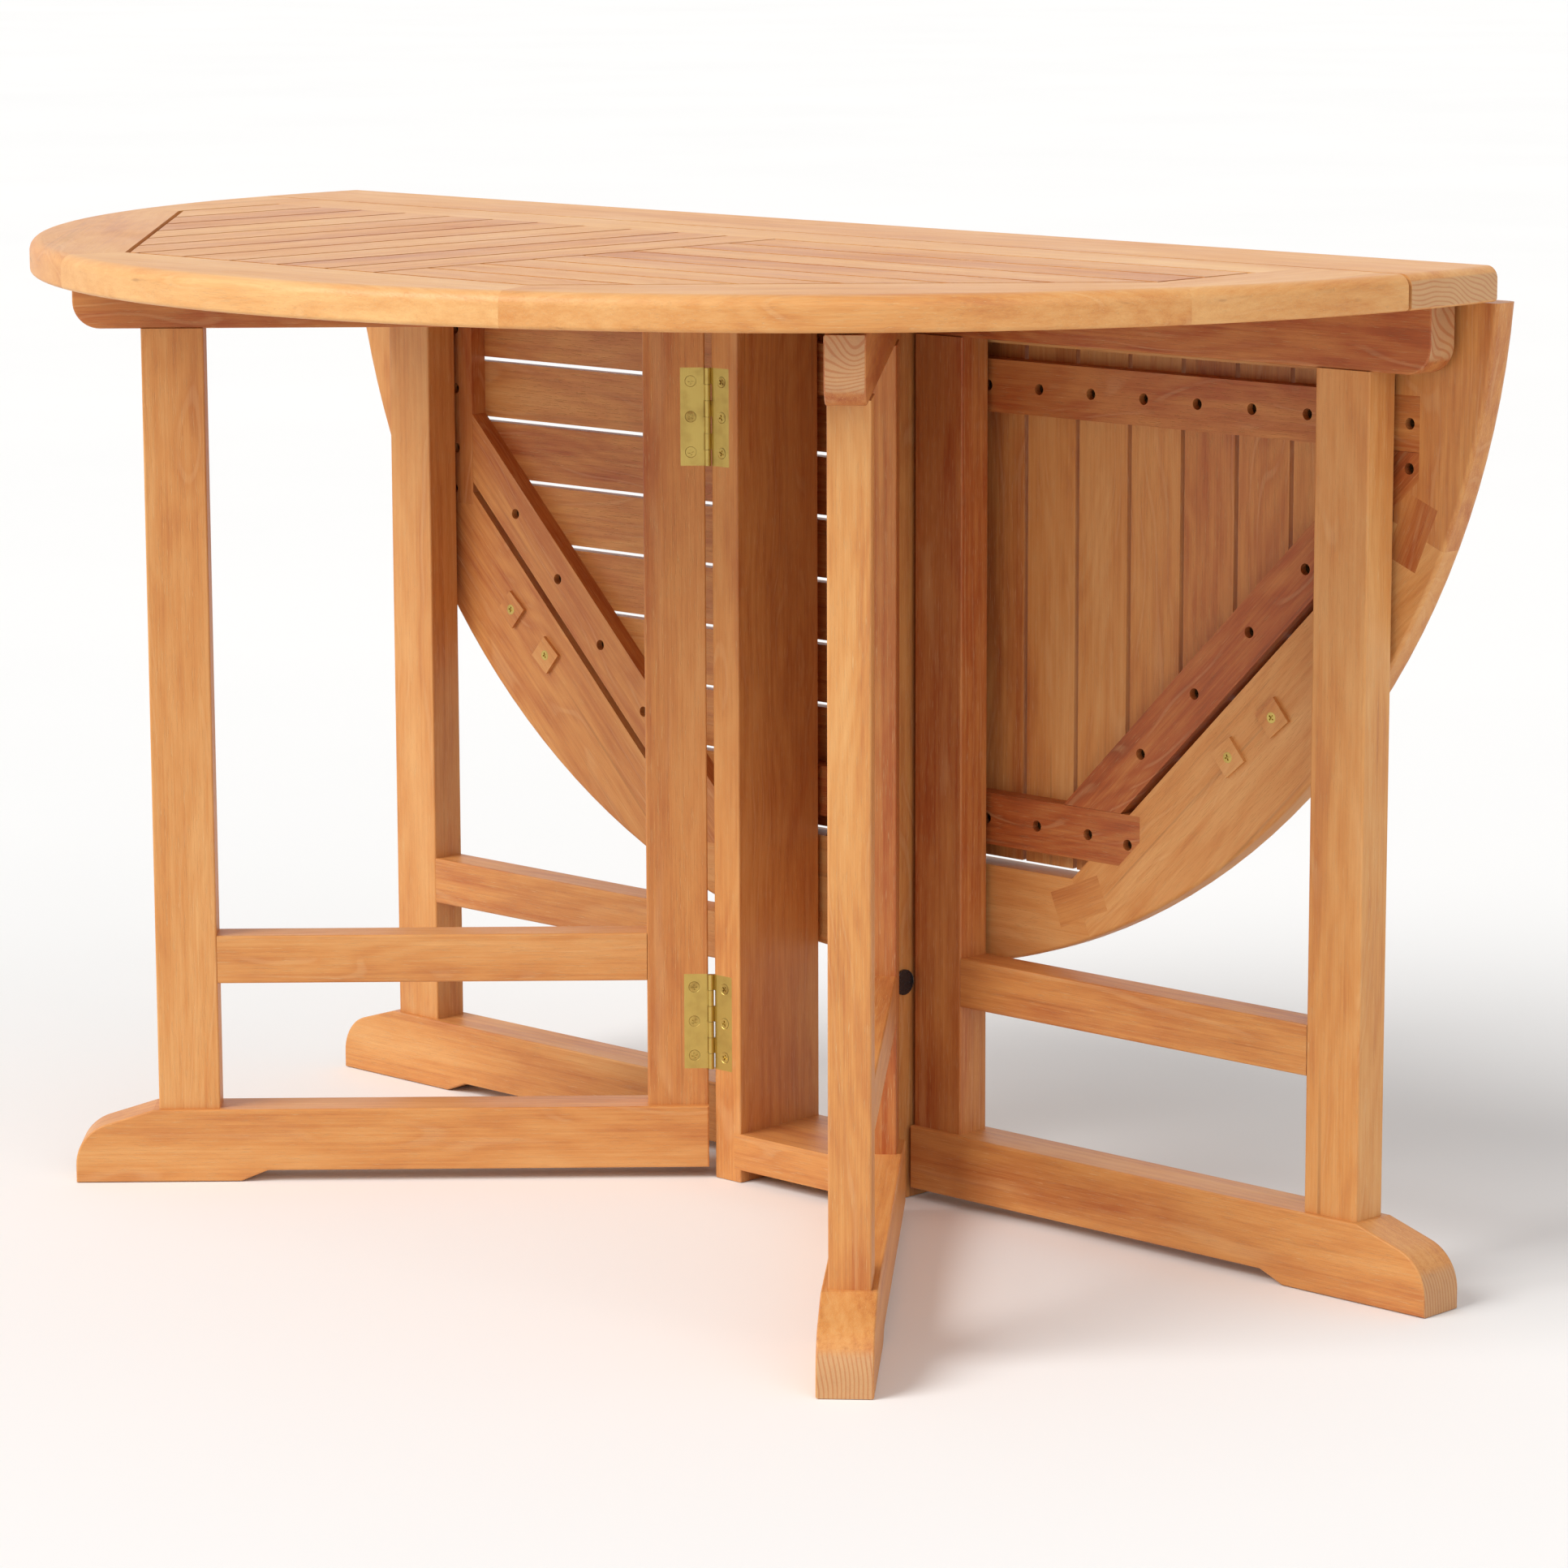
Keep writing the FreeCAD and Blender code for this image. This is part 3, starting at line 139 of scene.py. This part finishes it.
class Finish:
    """A material and the nodes that make it."""

    def __init__(self, name):
        self.material = bpy.data.materials.new(name)
        self.material.use_nodes = True
        self.tree = self.material.node_tree
        self.tree.nodes.clear()

    def node(self, kind, settings=None, inputs=None, output=0):
        made = self.tree.nodes.new(kind)
        for name, setting in (settings or {}).items():
            if name == "stops":
                self._set_stops(made.color_ramp, setting)
            else:
                setattr(made, name, setting)
        for key, given in (inputs or {}).items():
            if isinstance(given, Value):
                self.tree.links.new(given.socket, made.inputs[key])
            else:
                made.inputs[key].default_value = given
        return Value(self, made.outputs[output])

    def _set_stops(self, ramp, stops):
        while len(ramp.elements) < len(stops):
            ramp.elements.new(1.0)
        for element, (place, colour) in zip(ramp.elements, stops):
            element.position = place
            element.color = (*colour, 1.0)

    def point(self):
        """X, Y and Z in the frame as it rests, in millimetres."""
        place = self.node("ShaderNodeTexCoord", output="Object")
        parts = self.node("ShaderNodeSeparateXYZ", inputs={0: place})
        node = parts.socket.node
        return [Value(self, node.outputs[i]) * MM_PER_M for i in range(3)]

    def facing(self, direction):
        """How squarely the surface faces along a direction, from 0 to 1."""
        normal = self.node("ShaderNodeTexCoord", output="Normal")
        dot = self.node("ShaderNodeVectorMath", {"operation": "DOT_PRODUCT"},
                        {0: normal, 1: direction}, "Value")
        return abs(dot)

    def vector(self, x, y, z):
        return self.node("ShaderNodeCombineXYZ", inputs={0: x, 1: y, 2: z})

    def noise(self, vector, detail=2.0, roughness=0.5):
        return self.node("ShaderNodeTexNoise", None,
                         {"Vector": vector, "Scale": 1.0, "Detail": detail,
                          "Roughness": roughness, "Distortion": 0.0})

    def figure(self, board, changes, detail=2.0, roughness=0.5):
        """Noise drawn out along a board, from how often it changes along and across it."""
        along, across, through = board
        lengthwise, crosswise = changes
        drawn = self.vector(along * lengthwise, across * crosswise, through * crosswise)
        return self.noise(drawn, detail, roughness)

    def chance(self, number):
        """A random value from 0 to 1 for each whole number."""
        return self.node("ShaderNodeTexWhiteNoise", {"noise_dimensions": "1D"},
                         {"W": number}, "Value")

    def colours(self, factor, stops):
        return self.node("ShaderNodeValToRGB", {"stops": stops}, {0: factor})

    def mix(self, factor, first, second):
        return self.node("ShaderNodeMix", {"data_type": "RGBA"},
                         {0: factor, 6: first, 7: second}, 2)

    def bump(self, height, distance, strength):
        return self.node("ShaderNodeBump", None,
                         {"Height": height, "Distance": distance, "Strength": strength})

    def surface(self, **inputs):
        """Ends the material in one surface shader."""
        named = {key.replace("_", " ").title().replace("Ior", "IOR"): given
                 for key, given in inputs.items()}
        shader = self.node("ShaderNodeBsdfPrincipled", None, named)
        end = self.tree.nodes.new("ShaderNodeOutputMaterial")
        self.tree.links.new(shader.socket, end.inputs["Surface"])
        return self.material


# ---------------------------------------------------------------- teak

TEAK_DEEP = (0.105, 0.018, 0.006)
TEAK_RED = (0.400, 0.098, 0.022)
TEAK_HONEY = (0.640, 0.278, 0.079)
TEAK_PALE = (0.790, 0.450, 0.175)
PALE_FLECK = (0.860, 0.560, 0.270, 1.0)
DARK_VEIN = (0.120, 0.028, 0.008, 1.0)
END_WOOD = (0.560, 0.330, 0.160, 1.0)

# growth rings, in millimetres, and how far boards are cut apart in the timber
RING_PITCH = 8.5
END_RING_PITCH = 3.1
HEART_DEPTH = 42.0
RING_WANDER = 110.0
BOARD_SHIFT = 310.0
BOARD_SLIDE = 900.0
# how often the figure changes along and across a board, in changes to a millimetre
BROAD_TONE = (0.0032, 0.026)
CLOUDS = (0.017, 0.075)
RING_DRIFT = (0.0030, 0.011)
RING_PATCHES = (0.006, 0.05)
STREAKS = (0.0055, 0.42)
FIBRES = (0.030, 1.7)
PORES = (0.075, 2.1)
VEINS = (0.0022, 0.15)
WEAR = 0.011
# steps that spread boards over the timber by their numbers
PICK_STEP = 0.61803
SLIDE_STEP = 0.41421
SECOND_DRAW = 57.3
# a share of a direction too small to count
NO_SHARE = 1e-9


def teak(name, grain, seed, tone_and_painted_light=0.0, board=None, end_grain=None):
    """Oiled teak. grain gives the coordinates along, across and through a board from the
    frame's X, Y and Z, board a number for each board in a node and end_grain the direction
    that its ends face."""
    finish = Finish(name)
    x, y, z = finish.point()
    along, across, through = grain(x, y, z)
    if board is None:
        pick = (seed * PICK_STEP) % 1.0
        slide = (seed * SLIDE_STEP) % 1.0
    else:
        number = board(x, y, z) + seed
        pick = finish.chance(number)
        slide = finish.chance(number + SECOND_DRAW)
    along = along + slide * BOARD_SLIDE
    across = across + pick * BOARD_SHIFT

    # slow changes of tone down a board, and clouds within them
    timber = (along, across, through)
    broad = finish.figure(timber, BROAD_TONE, 3.0)
    cloud = finish.figure(timber, CLOUDS, 4.0, 0.6)
    # growth rings cut at a slant, which make long arches of pale line
    drift = finish.figure(timber, RING_DRIFT)
    depth = through + HEART_DEPTH
    wander = across * 0.60 + (drift - 0.5) * RING_WANDER
    radius = (wander * wander + depth * depth).root()
    ring = (radius * (2 * math.pi / RING_PITCH)).sine() * 0.5 + 0.5
    patch = finish.figure(timber, RING_PATCHES)
    line = ring.ramp(0.86, 1.0) * patch.ramp(0.46, 0.62)
    # fine streaks and open pores along the grain
    streak = finish.figure(timber, STREAKS, 4.0, 0.6)
    fibre = finish.figure(timber, FIBRES, 2.0, 0.6)
    pore = finish.figure(timber, PORES, 1.0).ramp(0.62, 0.73)
    vein = finish.figure(timber, VEINS).ramp(0.66, 0.80)

    # the tone shift given to teak() darkens above 0 and lightens below 0: mostly a board's own
    # tone, but painted shade on the battens and the gates' top rails and a painted sheen on the
    # raised leaf
    tone = 0.60 - tone_and_painted_light + (broad - 0.5) * 0.62 + (cloud - 0.5) * 0.34
    tone = tone + (streak - 0.5) * 0.34 + (fibre - 0.5) * 0.22 - (ring - 0.4) * 0.07
    tone = tone + (pick - 0.5) * (0.14 if board is None else 0.17)
    wood = finish.colours(tone, [(0.0, TEAK_DEEP), (0.30, TEAK_RED), (0.62, TEAK_HONEY),
                                 (1.0, TEAK_PALE)])
    wood = finish.mix(vein * 0.34, wood, DARK_VEIN)
    wood = finish.mix(line * 0.17, wood, PALE_FLECK)
    wood = finish.mix(pore * 0.34, wood, PALE_FLECK)
    if end_grain is not None:
        cut_end = finish.facing(end_grain).ramp(0.80, 0.93)
        end_ring = (radius * (2 * math.pi / END_RING_PITCH)).sine().ramp(0.1, 0.9)
        end_wood = finish.mix(end_ring * 0.55, END_WOOD, (*TEAK_RED, 1.0))
        wood = finish.mix(cut_end * 0.75, wood, end_wood)
    wear = finish.noise(finish.vector(x * WEAR, y * WEAR, z * WEAR), 4.0)
    rough = 0.46 + (streak - 0.5) * 0.16 + (wear - 0.5) * 0.20 + pore * 0.10
    height = streak * 0.5 + fibre * 0.35 - pore * 0.8 - ring * 0.12
    return finish.surface(
        base_color=wood, roughness=rough, specular_ior_level=0.36,
        coat_weight=0.06, coat_roughness=0.30,
        normal=finish.bump(height, 0.0003, 0.7))


def distance(x, y, z, direction):
    """How far a place lies along a direction."""
    terms = [part * share for part, share in zip((x, y, z), direction)
             if abs(share) > NO_SHARE]
    return sum(terms[1:], terms[0])


def straight(along, across, through):
    """Grain of a board whose length, width and thickness lie along three directions."""
    def grain(x, y, z):
        return [distance(x, y, z, axis) for axis in (along, across, through)]
    return grain


UP = (0.0, 0.0, 1.0)


def gate_axes(gate):
    """Outward and sideways directions of a gate as it rests."""
    if gate == "front_left":
        turn = math.radians(180 + LEFT_OPEN)
    elif gate == "front_right":
        turn = math.radians(-RIGHT_OPEN)
    else:
        turn = 0.0
    outward = (math.cos(turn), math.sin(turn), 0.0)
    return outward, (-outward[1], outward[0], 0.0)


def leaf_point(leaf, x, y, z):
    """X, Y and Z of a leaf laid flat: Y from the middle of the table, Z from its underside."""
    if leaf == "front_leaf":
        return -x, TABLE_Y * MM_PER_M - y, z - TOP_UNDER * MM_PER_M
    hinge = HINGE_LINE * MM_PER_M
    return x, TOP_UNDER * MM_PER_M + hinge - z, y - TABLE_Y * MM_PER_M - hinge


def on_leaf(leaf, rule):
    """A rule written for a leaf laid flat, for use in the frame."""
    def placed(x, y, z):
        return rule(*leaf_point(leaf, x, y, z))
    return placed


def batten_places(x, y):
    """Whether a place is on the near, far, inner or side batten."""
    near = y < NEAR_EDGE
    far = (y > FAR_EDGE) * (x > -INNER_NEAR)
    inner = (x < -INNER_NEAR) * (x > -INNER_FAR)
    side = x < -SIDE_INNER
    return near, far, inner, side


def batten_shape(x, y, z):
    """Grain along each batten: the near and far ones lie along X, the inner and side ones
    along Y and the other two at 45 degrees."""
    near, far, inner, side = batten_places(x, y)
    lies_x = (near + far) > 0.5
    lies_y = (inner + side) > 0.5
    slant_along, slant_across, _ = corner_shape(x, y, z)
    along = lies_y.choose(y, lies_x.choose(x, slant_along))
    across = lies_y.choose(x, lies_x.choose(y, slant_across))
    return along, across, z


# numbers that give each batten, half and key a board of its own
LEFT_SLANT = 3.0
RIGHT_SLANT = 10.0
NEAR_BATTEN = 11.0
FAR_BATTEN = 17.0
SIDE_BATTEN = 23.0
INNER_BATTEN = 29.0
HALF_STEP = 5.0
KEY_STEP = 11.0


def batten_number(x, y, z):
    """A number for each batten."""
    near, far, inner, side = batten_places(x, y)
    slant = (x > 0.0).choose(RIGHT_SLANT, LEFT_SLANT)
    number = ((near + far) > 0.5).choose(near.choose(NEAR_BATTEN, FAR_BATTEN), slant)
    return side.choose(SIDE_BATTEN, inner.choose(INNER_BATTEN, number))


def corner_shape(x, y, z):
    """Grain at 45 degrees to the strip."""
    side = abs(x)
    return (y - side) * SLANT, (y + side) * SLANT, z


def round_shape(x, y, z):
    """Grain that follows the rim."""
    side = abs(x)
    radius = (side * side + y * y).root()
    return y.turn_from(side) * KEY_RADIUS, radius, z


def along_strip(x, y, z):
    """Grain along the strip."""
    return x, y, z


def away_from_strip(x, y, z):
    """Grain square to the strip."""
    return y, x, z


def half_number(x, y, z):
    """A number for each half of a leaf."""
    return (x > 0.0) * HALF_STEP


def key_number(x, y, z):
    """A number for each key or pair of blocks."""
    return (x > 0.0) * HALF_STEP + (y > KEY_SPLIT) * KEY_STEP


def long_slat_number(x, y, z):
    """A number for each slat that points away from the strip."""
    return ((x - SPLIT) / LONG_PITCH).floor()


def cross_slat_number(x, y, z):
    """A number for each slat that lies along the strip."""
    return ((y - RAIL_EDGE) / CROSS_PITCH).floor()


# the grain, the numbering and the tone shift of each sort of piece in a leaf; the battens'
# darker shift is painted shade
LEAF_SHAPES = {
    "rim_ends": (away_from_strip, half_number, -0.03),
    "rim_corners": (corner_shape, half_number, -0.01),
    "rim_front": (along_strip, None, -0.07),
    "hinge_rail": (along_strip, None, 0.0),
    "long_slats": (away_from_strip, long_slat_number, 0.05),
    "cross_slats": (along_strip, cross_slat_number, 0.08),
    # painted shade: the battens under the leaf are painted darker
    "battens": (batten_shape, batten_number, 0.21),
    "rim_keys": (round_shape, key_number, 0.12),
    "stop_blocks": (corner_shape, key_number, -0.02),
}


def dress(node, material):
    """Gives a piece of the frame its finish."""
    slots = NODES[node].material_slots
    if not slots:
        NODES[node].data.materials.append(material)
        return
    for place in slots:
        place.material = material


# painted light: the raised leaf is painted lighter than the hanging one, a painted sheen for the
# bright reflection on its top against painted shade on the hanging leaf
LEAF_SHEEN_AND_SHADE = {"front_leaf": -0.10, "back_leaf": 0.0}
LEAF_SEED = 3.0
LEAF_SEED_STEP = 131.0
LEAF_PIECE_STEP = 13.0
for leaf_index, (leaf, leaf_sheen_and_shade) in enumerate(LEAF_SHEEN_AND_SHADE.items()):
    for index, (piece, (shape, number, tone_and_painted_light)) in enumerate(LEAF_SHAPES.items()):
        board = on_leaf(leaf, number) if number else None
        seed = LEAF_SEED + index * LEAF_PIECE_STEP + leaf_index * LEAF_SEED_STEP
        wood = teak(f"teak_{leaf}_{piece}", on_leaf(leaf, shape), seed, tone_and_painted_light + leaf_sheen_and_shade,
                    board)
        dress(f"{leaf}_{piece}", wood)


# tone shift of each gate piece; the top rail's darker shift, right under the table top, is
# painted shade
GATE_TONE_AND_SHADE = {"hinge_stile": 0.07, "outer_leg": -0.04, "middle_rail": -0.02,
               "top_rail": 0.24, "foot_rail": -0.03}
# single boards shifted darker (above 0) or lighter (below 0) than the rest of their kind
GATE_TONE = {("front_right", "outer_leg"): 0.12, ("front_left", "hinge_stile"): -0.02,
             ("back_right", "hinge_stile"): 0.05, ("front_right", "hinge_stile"): 0.05,
             ("back_left", "outer_leg"): 0.03}
GATE_SEED = 211.0
GATE_SEED_STEP = 71.0
GATE_PIECE_STEP = 17.0
for gate_index, gate in enumerate(("front_left", "front_right", "back_left", "back_right")):
    outward, sideways = gate_axes(gate)
    for index, (piece, tone_and_painted_light) in enumerate(GATE_TONE_AND_SHADE.items()):
        lengthwise = piece.endswith("rail")
        along, across = (outward, UP) if lengthwise else (UP, outward)
        seed = GATE_SEED + index * GATE_PIECE_STEP + gate_index * GATE_SEED_STEP
        wood = teak(f"teak_{gate}_{piece}", straight(along, across, sideways), seed,
                    tone_and_painted_light + GATE_TONE.get((gate, piece), 0.0), None, along)
        dress(f"{gate}_{piece}", wood)

ALONG_X = (1.0, 0.0, 0.0)
ALONG_Y = (0.0, 1.0, 0.0)
# along, across and through the strip and each board of the column, its number and warmth
COLUMN_BOARDS = {
    "center_strip": (ALONG_X, ALONG_Y, UP, 401.0, -0.06),
    "left_upright": (UP, ALONG_Y, ALONG_X, 419.0, 0.05),
    "right_upright": (UP, ALONG_Y, ALONG_X, 433.0, 0.07),
    "bottom_shelf": (ALONG_X, ALONG_Y, UP, 449.0, 0.04),
    "column_head": (ALONG_X, ALONG_Y, UP, 463.0, 0.04),
}
for piece, (along, across, through, seed, tone_and_painted_light) in COLUMN_BOARDS.items():
    dress(piece, teak(f"teak_{piece}", straight(along, across, through), seed, tone_and_painted_light, None,
                      along))

# ---------------------------------------------------------------- brass and badge

CLEAN_BRASS = (0.560, 0.415, 0.120, 1.0)
AGED_BRASS = (0.280, 0.165, 0.045, 1.0)
# painted shade: a near black for screws sunk in their bores
PAINTED_BORE_SHADE = (0.070, 0.038, 0.014, 1.0)
# depths in millimetres from a leaf's underside between which its screws are painted dark, a
# painted shade for the bores they sit in
SUNK_FROM = 2.0
SUNK_TO = 4.0


def brass(name, tarnish, leaf=None):
    """Satin brass with a little tarnish in patches and fine rubbing marks. In a leaf the screws
    sunk far into the battens are painted dark, a painted shade for their bores."""
    finish = Finish(name)
    x, y, z = finish.point()
    patches = finish.noise(finish.vector(x * 0.07, y * 0.07, z * 0.07), 4.0)
    rubbed = finish.noise(finish.vector(x * 1.4, y * 1.4, z * 0.10), 3.0)
    age = patches.ramp(0.44, 0.74) * tarnish
    metal = finish.mix(age, CLEAN_BRASS, AGED_BRASS)
    rough = 0.30 + rubbed * 0.16 + age * 0.20
    if leaf is not None:
        # painted shade: the screws sunk far into the battens are painted dark
        bore_shade = leaf_point(leaf, x, y, z)[2].ramp(SUNK_FROM, SUNK_TO)
        metal = finish.mix(bore_shade, metal, PAINTED_BORE_SHADE)
        rough = rough + bore_shade * 0.25
    return finish.surface(base_color=metal, metallic=1.0, roughness=rough,
                          normal=finish.bump(rubbed, 0.0001, 0.5))


hinge_brass = brass("satin_brass_hinges", 0.25)
screw_brass = brass("worn_brass_screws", 1.0)
for node in NODES:
    if "hinge_plates" in node or node == "hinge_pins":
        dress(node, hinge_brass)
    elif "screws" in node:
        dress(node, screw_brass)
for leaf in LEAF_SHEEN_AND_SHADE:
    dress(f"{leaf}_screws", brass(f"brass_screws_painted_shade_{leaf}", 0.5, leaf))


def badge_black():
    """Black enamel with a faint orange-peel surface."""
    finish = Finish("black_enamel_badge")
    x, y, z = finish.point()
    ripple = finish.noise(finish.vector(x * 0.8, y * 0.8, z * 0.8), 2.0)
    shade = finish.colours(ripple, [(0.0, (0.010, 0.010, 0.011)), (1.0, (0.026, 0.026, 0.028))])
    return finish.surface(base_color=shade, roughness=0.20 + ripple * 0.12,
                          coat_weight=0.5, coat_roughness=0.08,
                          normal=finish.bump(ripple, 0.0001, 0.3))


dress("plain_badge", badge_black())

# ---------------------------------------------------------------- floor and light

FLOOR_SIDE = 60.0


def floor_finish():
    finish = Finish("pale_floor")
    x, y, z = finish.point()
    cloud = finish.noise(finish.vector(x * 0.0009, y * 0.0009, z), 3.0)
    shade = finish.colours(cloud, [(0.0, (0.900, 0.900, 0.898)), (1.0, (0.945, 0.945, 0.943))])
    return finish.surface(base_color=shade, roughness=0.85, specular_ior_level=0.2)


floor_mesh = bpy.data.meshes.new("floor")
half_floor = FLOOR_SIDE / 2
floor_mesh.from_pydata(
    [(-half_floor, -half_floor, 0), (half_floor, -half_floor, 0),
     (half_floor, half_floor, 0), (-half_floor, half_floor, 0)], [], [(0, 1, 2, 3)])
floor = bpy.data.objects.new("floor", floor_mesh)
floor.location.z = -0.0005
floor_mesh.materials.append(floor_finish())
bpy.context.scene.collection.objects.link(floor)

world = bpy.data.worlds.new("studio")
bpy.context.scene.world = world
world.use_nodes = True
sky = world.node_tree.nodes["Background"]
sky.inputs["Color"].default_value = (1.0, 1.0, 1.0, 1.0)
SKY_GLOSS = 1.05
SKY_AMBIENT = 0.45
path = world.node_tree.nodes.new("ShaderNodeLightPath")
share = world.node_tree.nodes.new("ShaderNodeMapRange")
share.inputs["To Min"].default_value = SKY_GLOSS
share.inputs["To Max"].default_value = SKY_AMBIENT
world.node_tree.links.new(path.outputs["Is Diffuse Ray"], share.inputs["Value"])
world.node_tree.links.new(share.outputs["Result"], sky.inputs["Strength"])


def soft_light(name, place, power, spread, colour=(1.0, 1.0, 1.0)):
    """A far, wide light that shines from a place towards the table."""
    lamp = bpy.data.lights.new(name, "SUN")
    lamp.angle = math.radians(spread)
    lamp.energy = power
    lamp.color = colour
    made = bpy.data.objects.new(name, lamp)
    made.location = place
    made.rotation_mode = "QUATERNION"
    made.rotation_quaternion = (-Vector(place)).to_track_quat("-Z", "Y")
    bpy.context.scene.collection.objects.link(made)


soft_light("key_light", (-1.4, -4.0, 3.5), 2.5, 36.0, (1.0, 0.985, 0.965))
soft_light("fill_light", (4.2, -1.6, 2.6), 0.75, 50.0)

# ---------------------------------------------------------------- camera

SENSOR = 36.0
IMAGE = 1932.0
AZIMUTH = math.radians(43.953)
ELEVATION = math.radians(10.136)
ROLL = math.radians(-0.188)
FOCAL = 6619.8
CAMERA_PLACE = Vector((2.8279, -2.9785 + TABLE_Y, 1.0532))

right = Vector((math.cos(AZIMUTH), math.sin(AZIMUTH), 0.0))
back = Vector((math.sin(AZIMUTH) * math.cos(ELEVATION),
               -math.cos(AZIMUTH) * math.cos(ELEVATION), math.sin(ELEVATION)))
upward = back.cross(right)
rolled_right = right * math.cos(ROLL) + upward * math.sin(ROLL)
rolled_up = upward * math.cos(ROLL) - right * math.sin(ROLL)

lens = bpy.data.cameras.new("camera")
lens.sensor_width = SENSOR
lens.lens = SENSOR * FOCAL / IMAGE
lens.clip_end = 200.0
camera = bpy.data.objects.new("camera", lens)
turn = Matrix((rolled_right, rolled_up, back)).transposed()
camera.matrix_world = Matrix.Translation(CAMERA_PLACE) @ turn.to_4x4()
bpy.context.scene.collection.objects.link(camera)
bpy.context.scene.camera = camera

bpy.context.scene.view_settings.view_transform = "Standard"
bpy.context.scene.view_settings.look = "None"
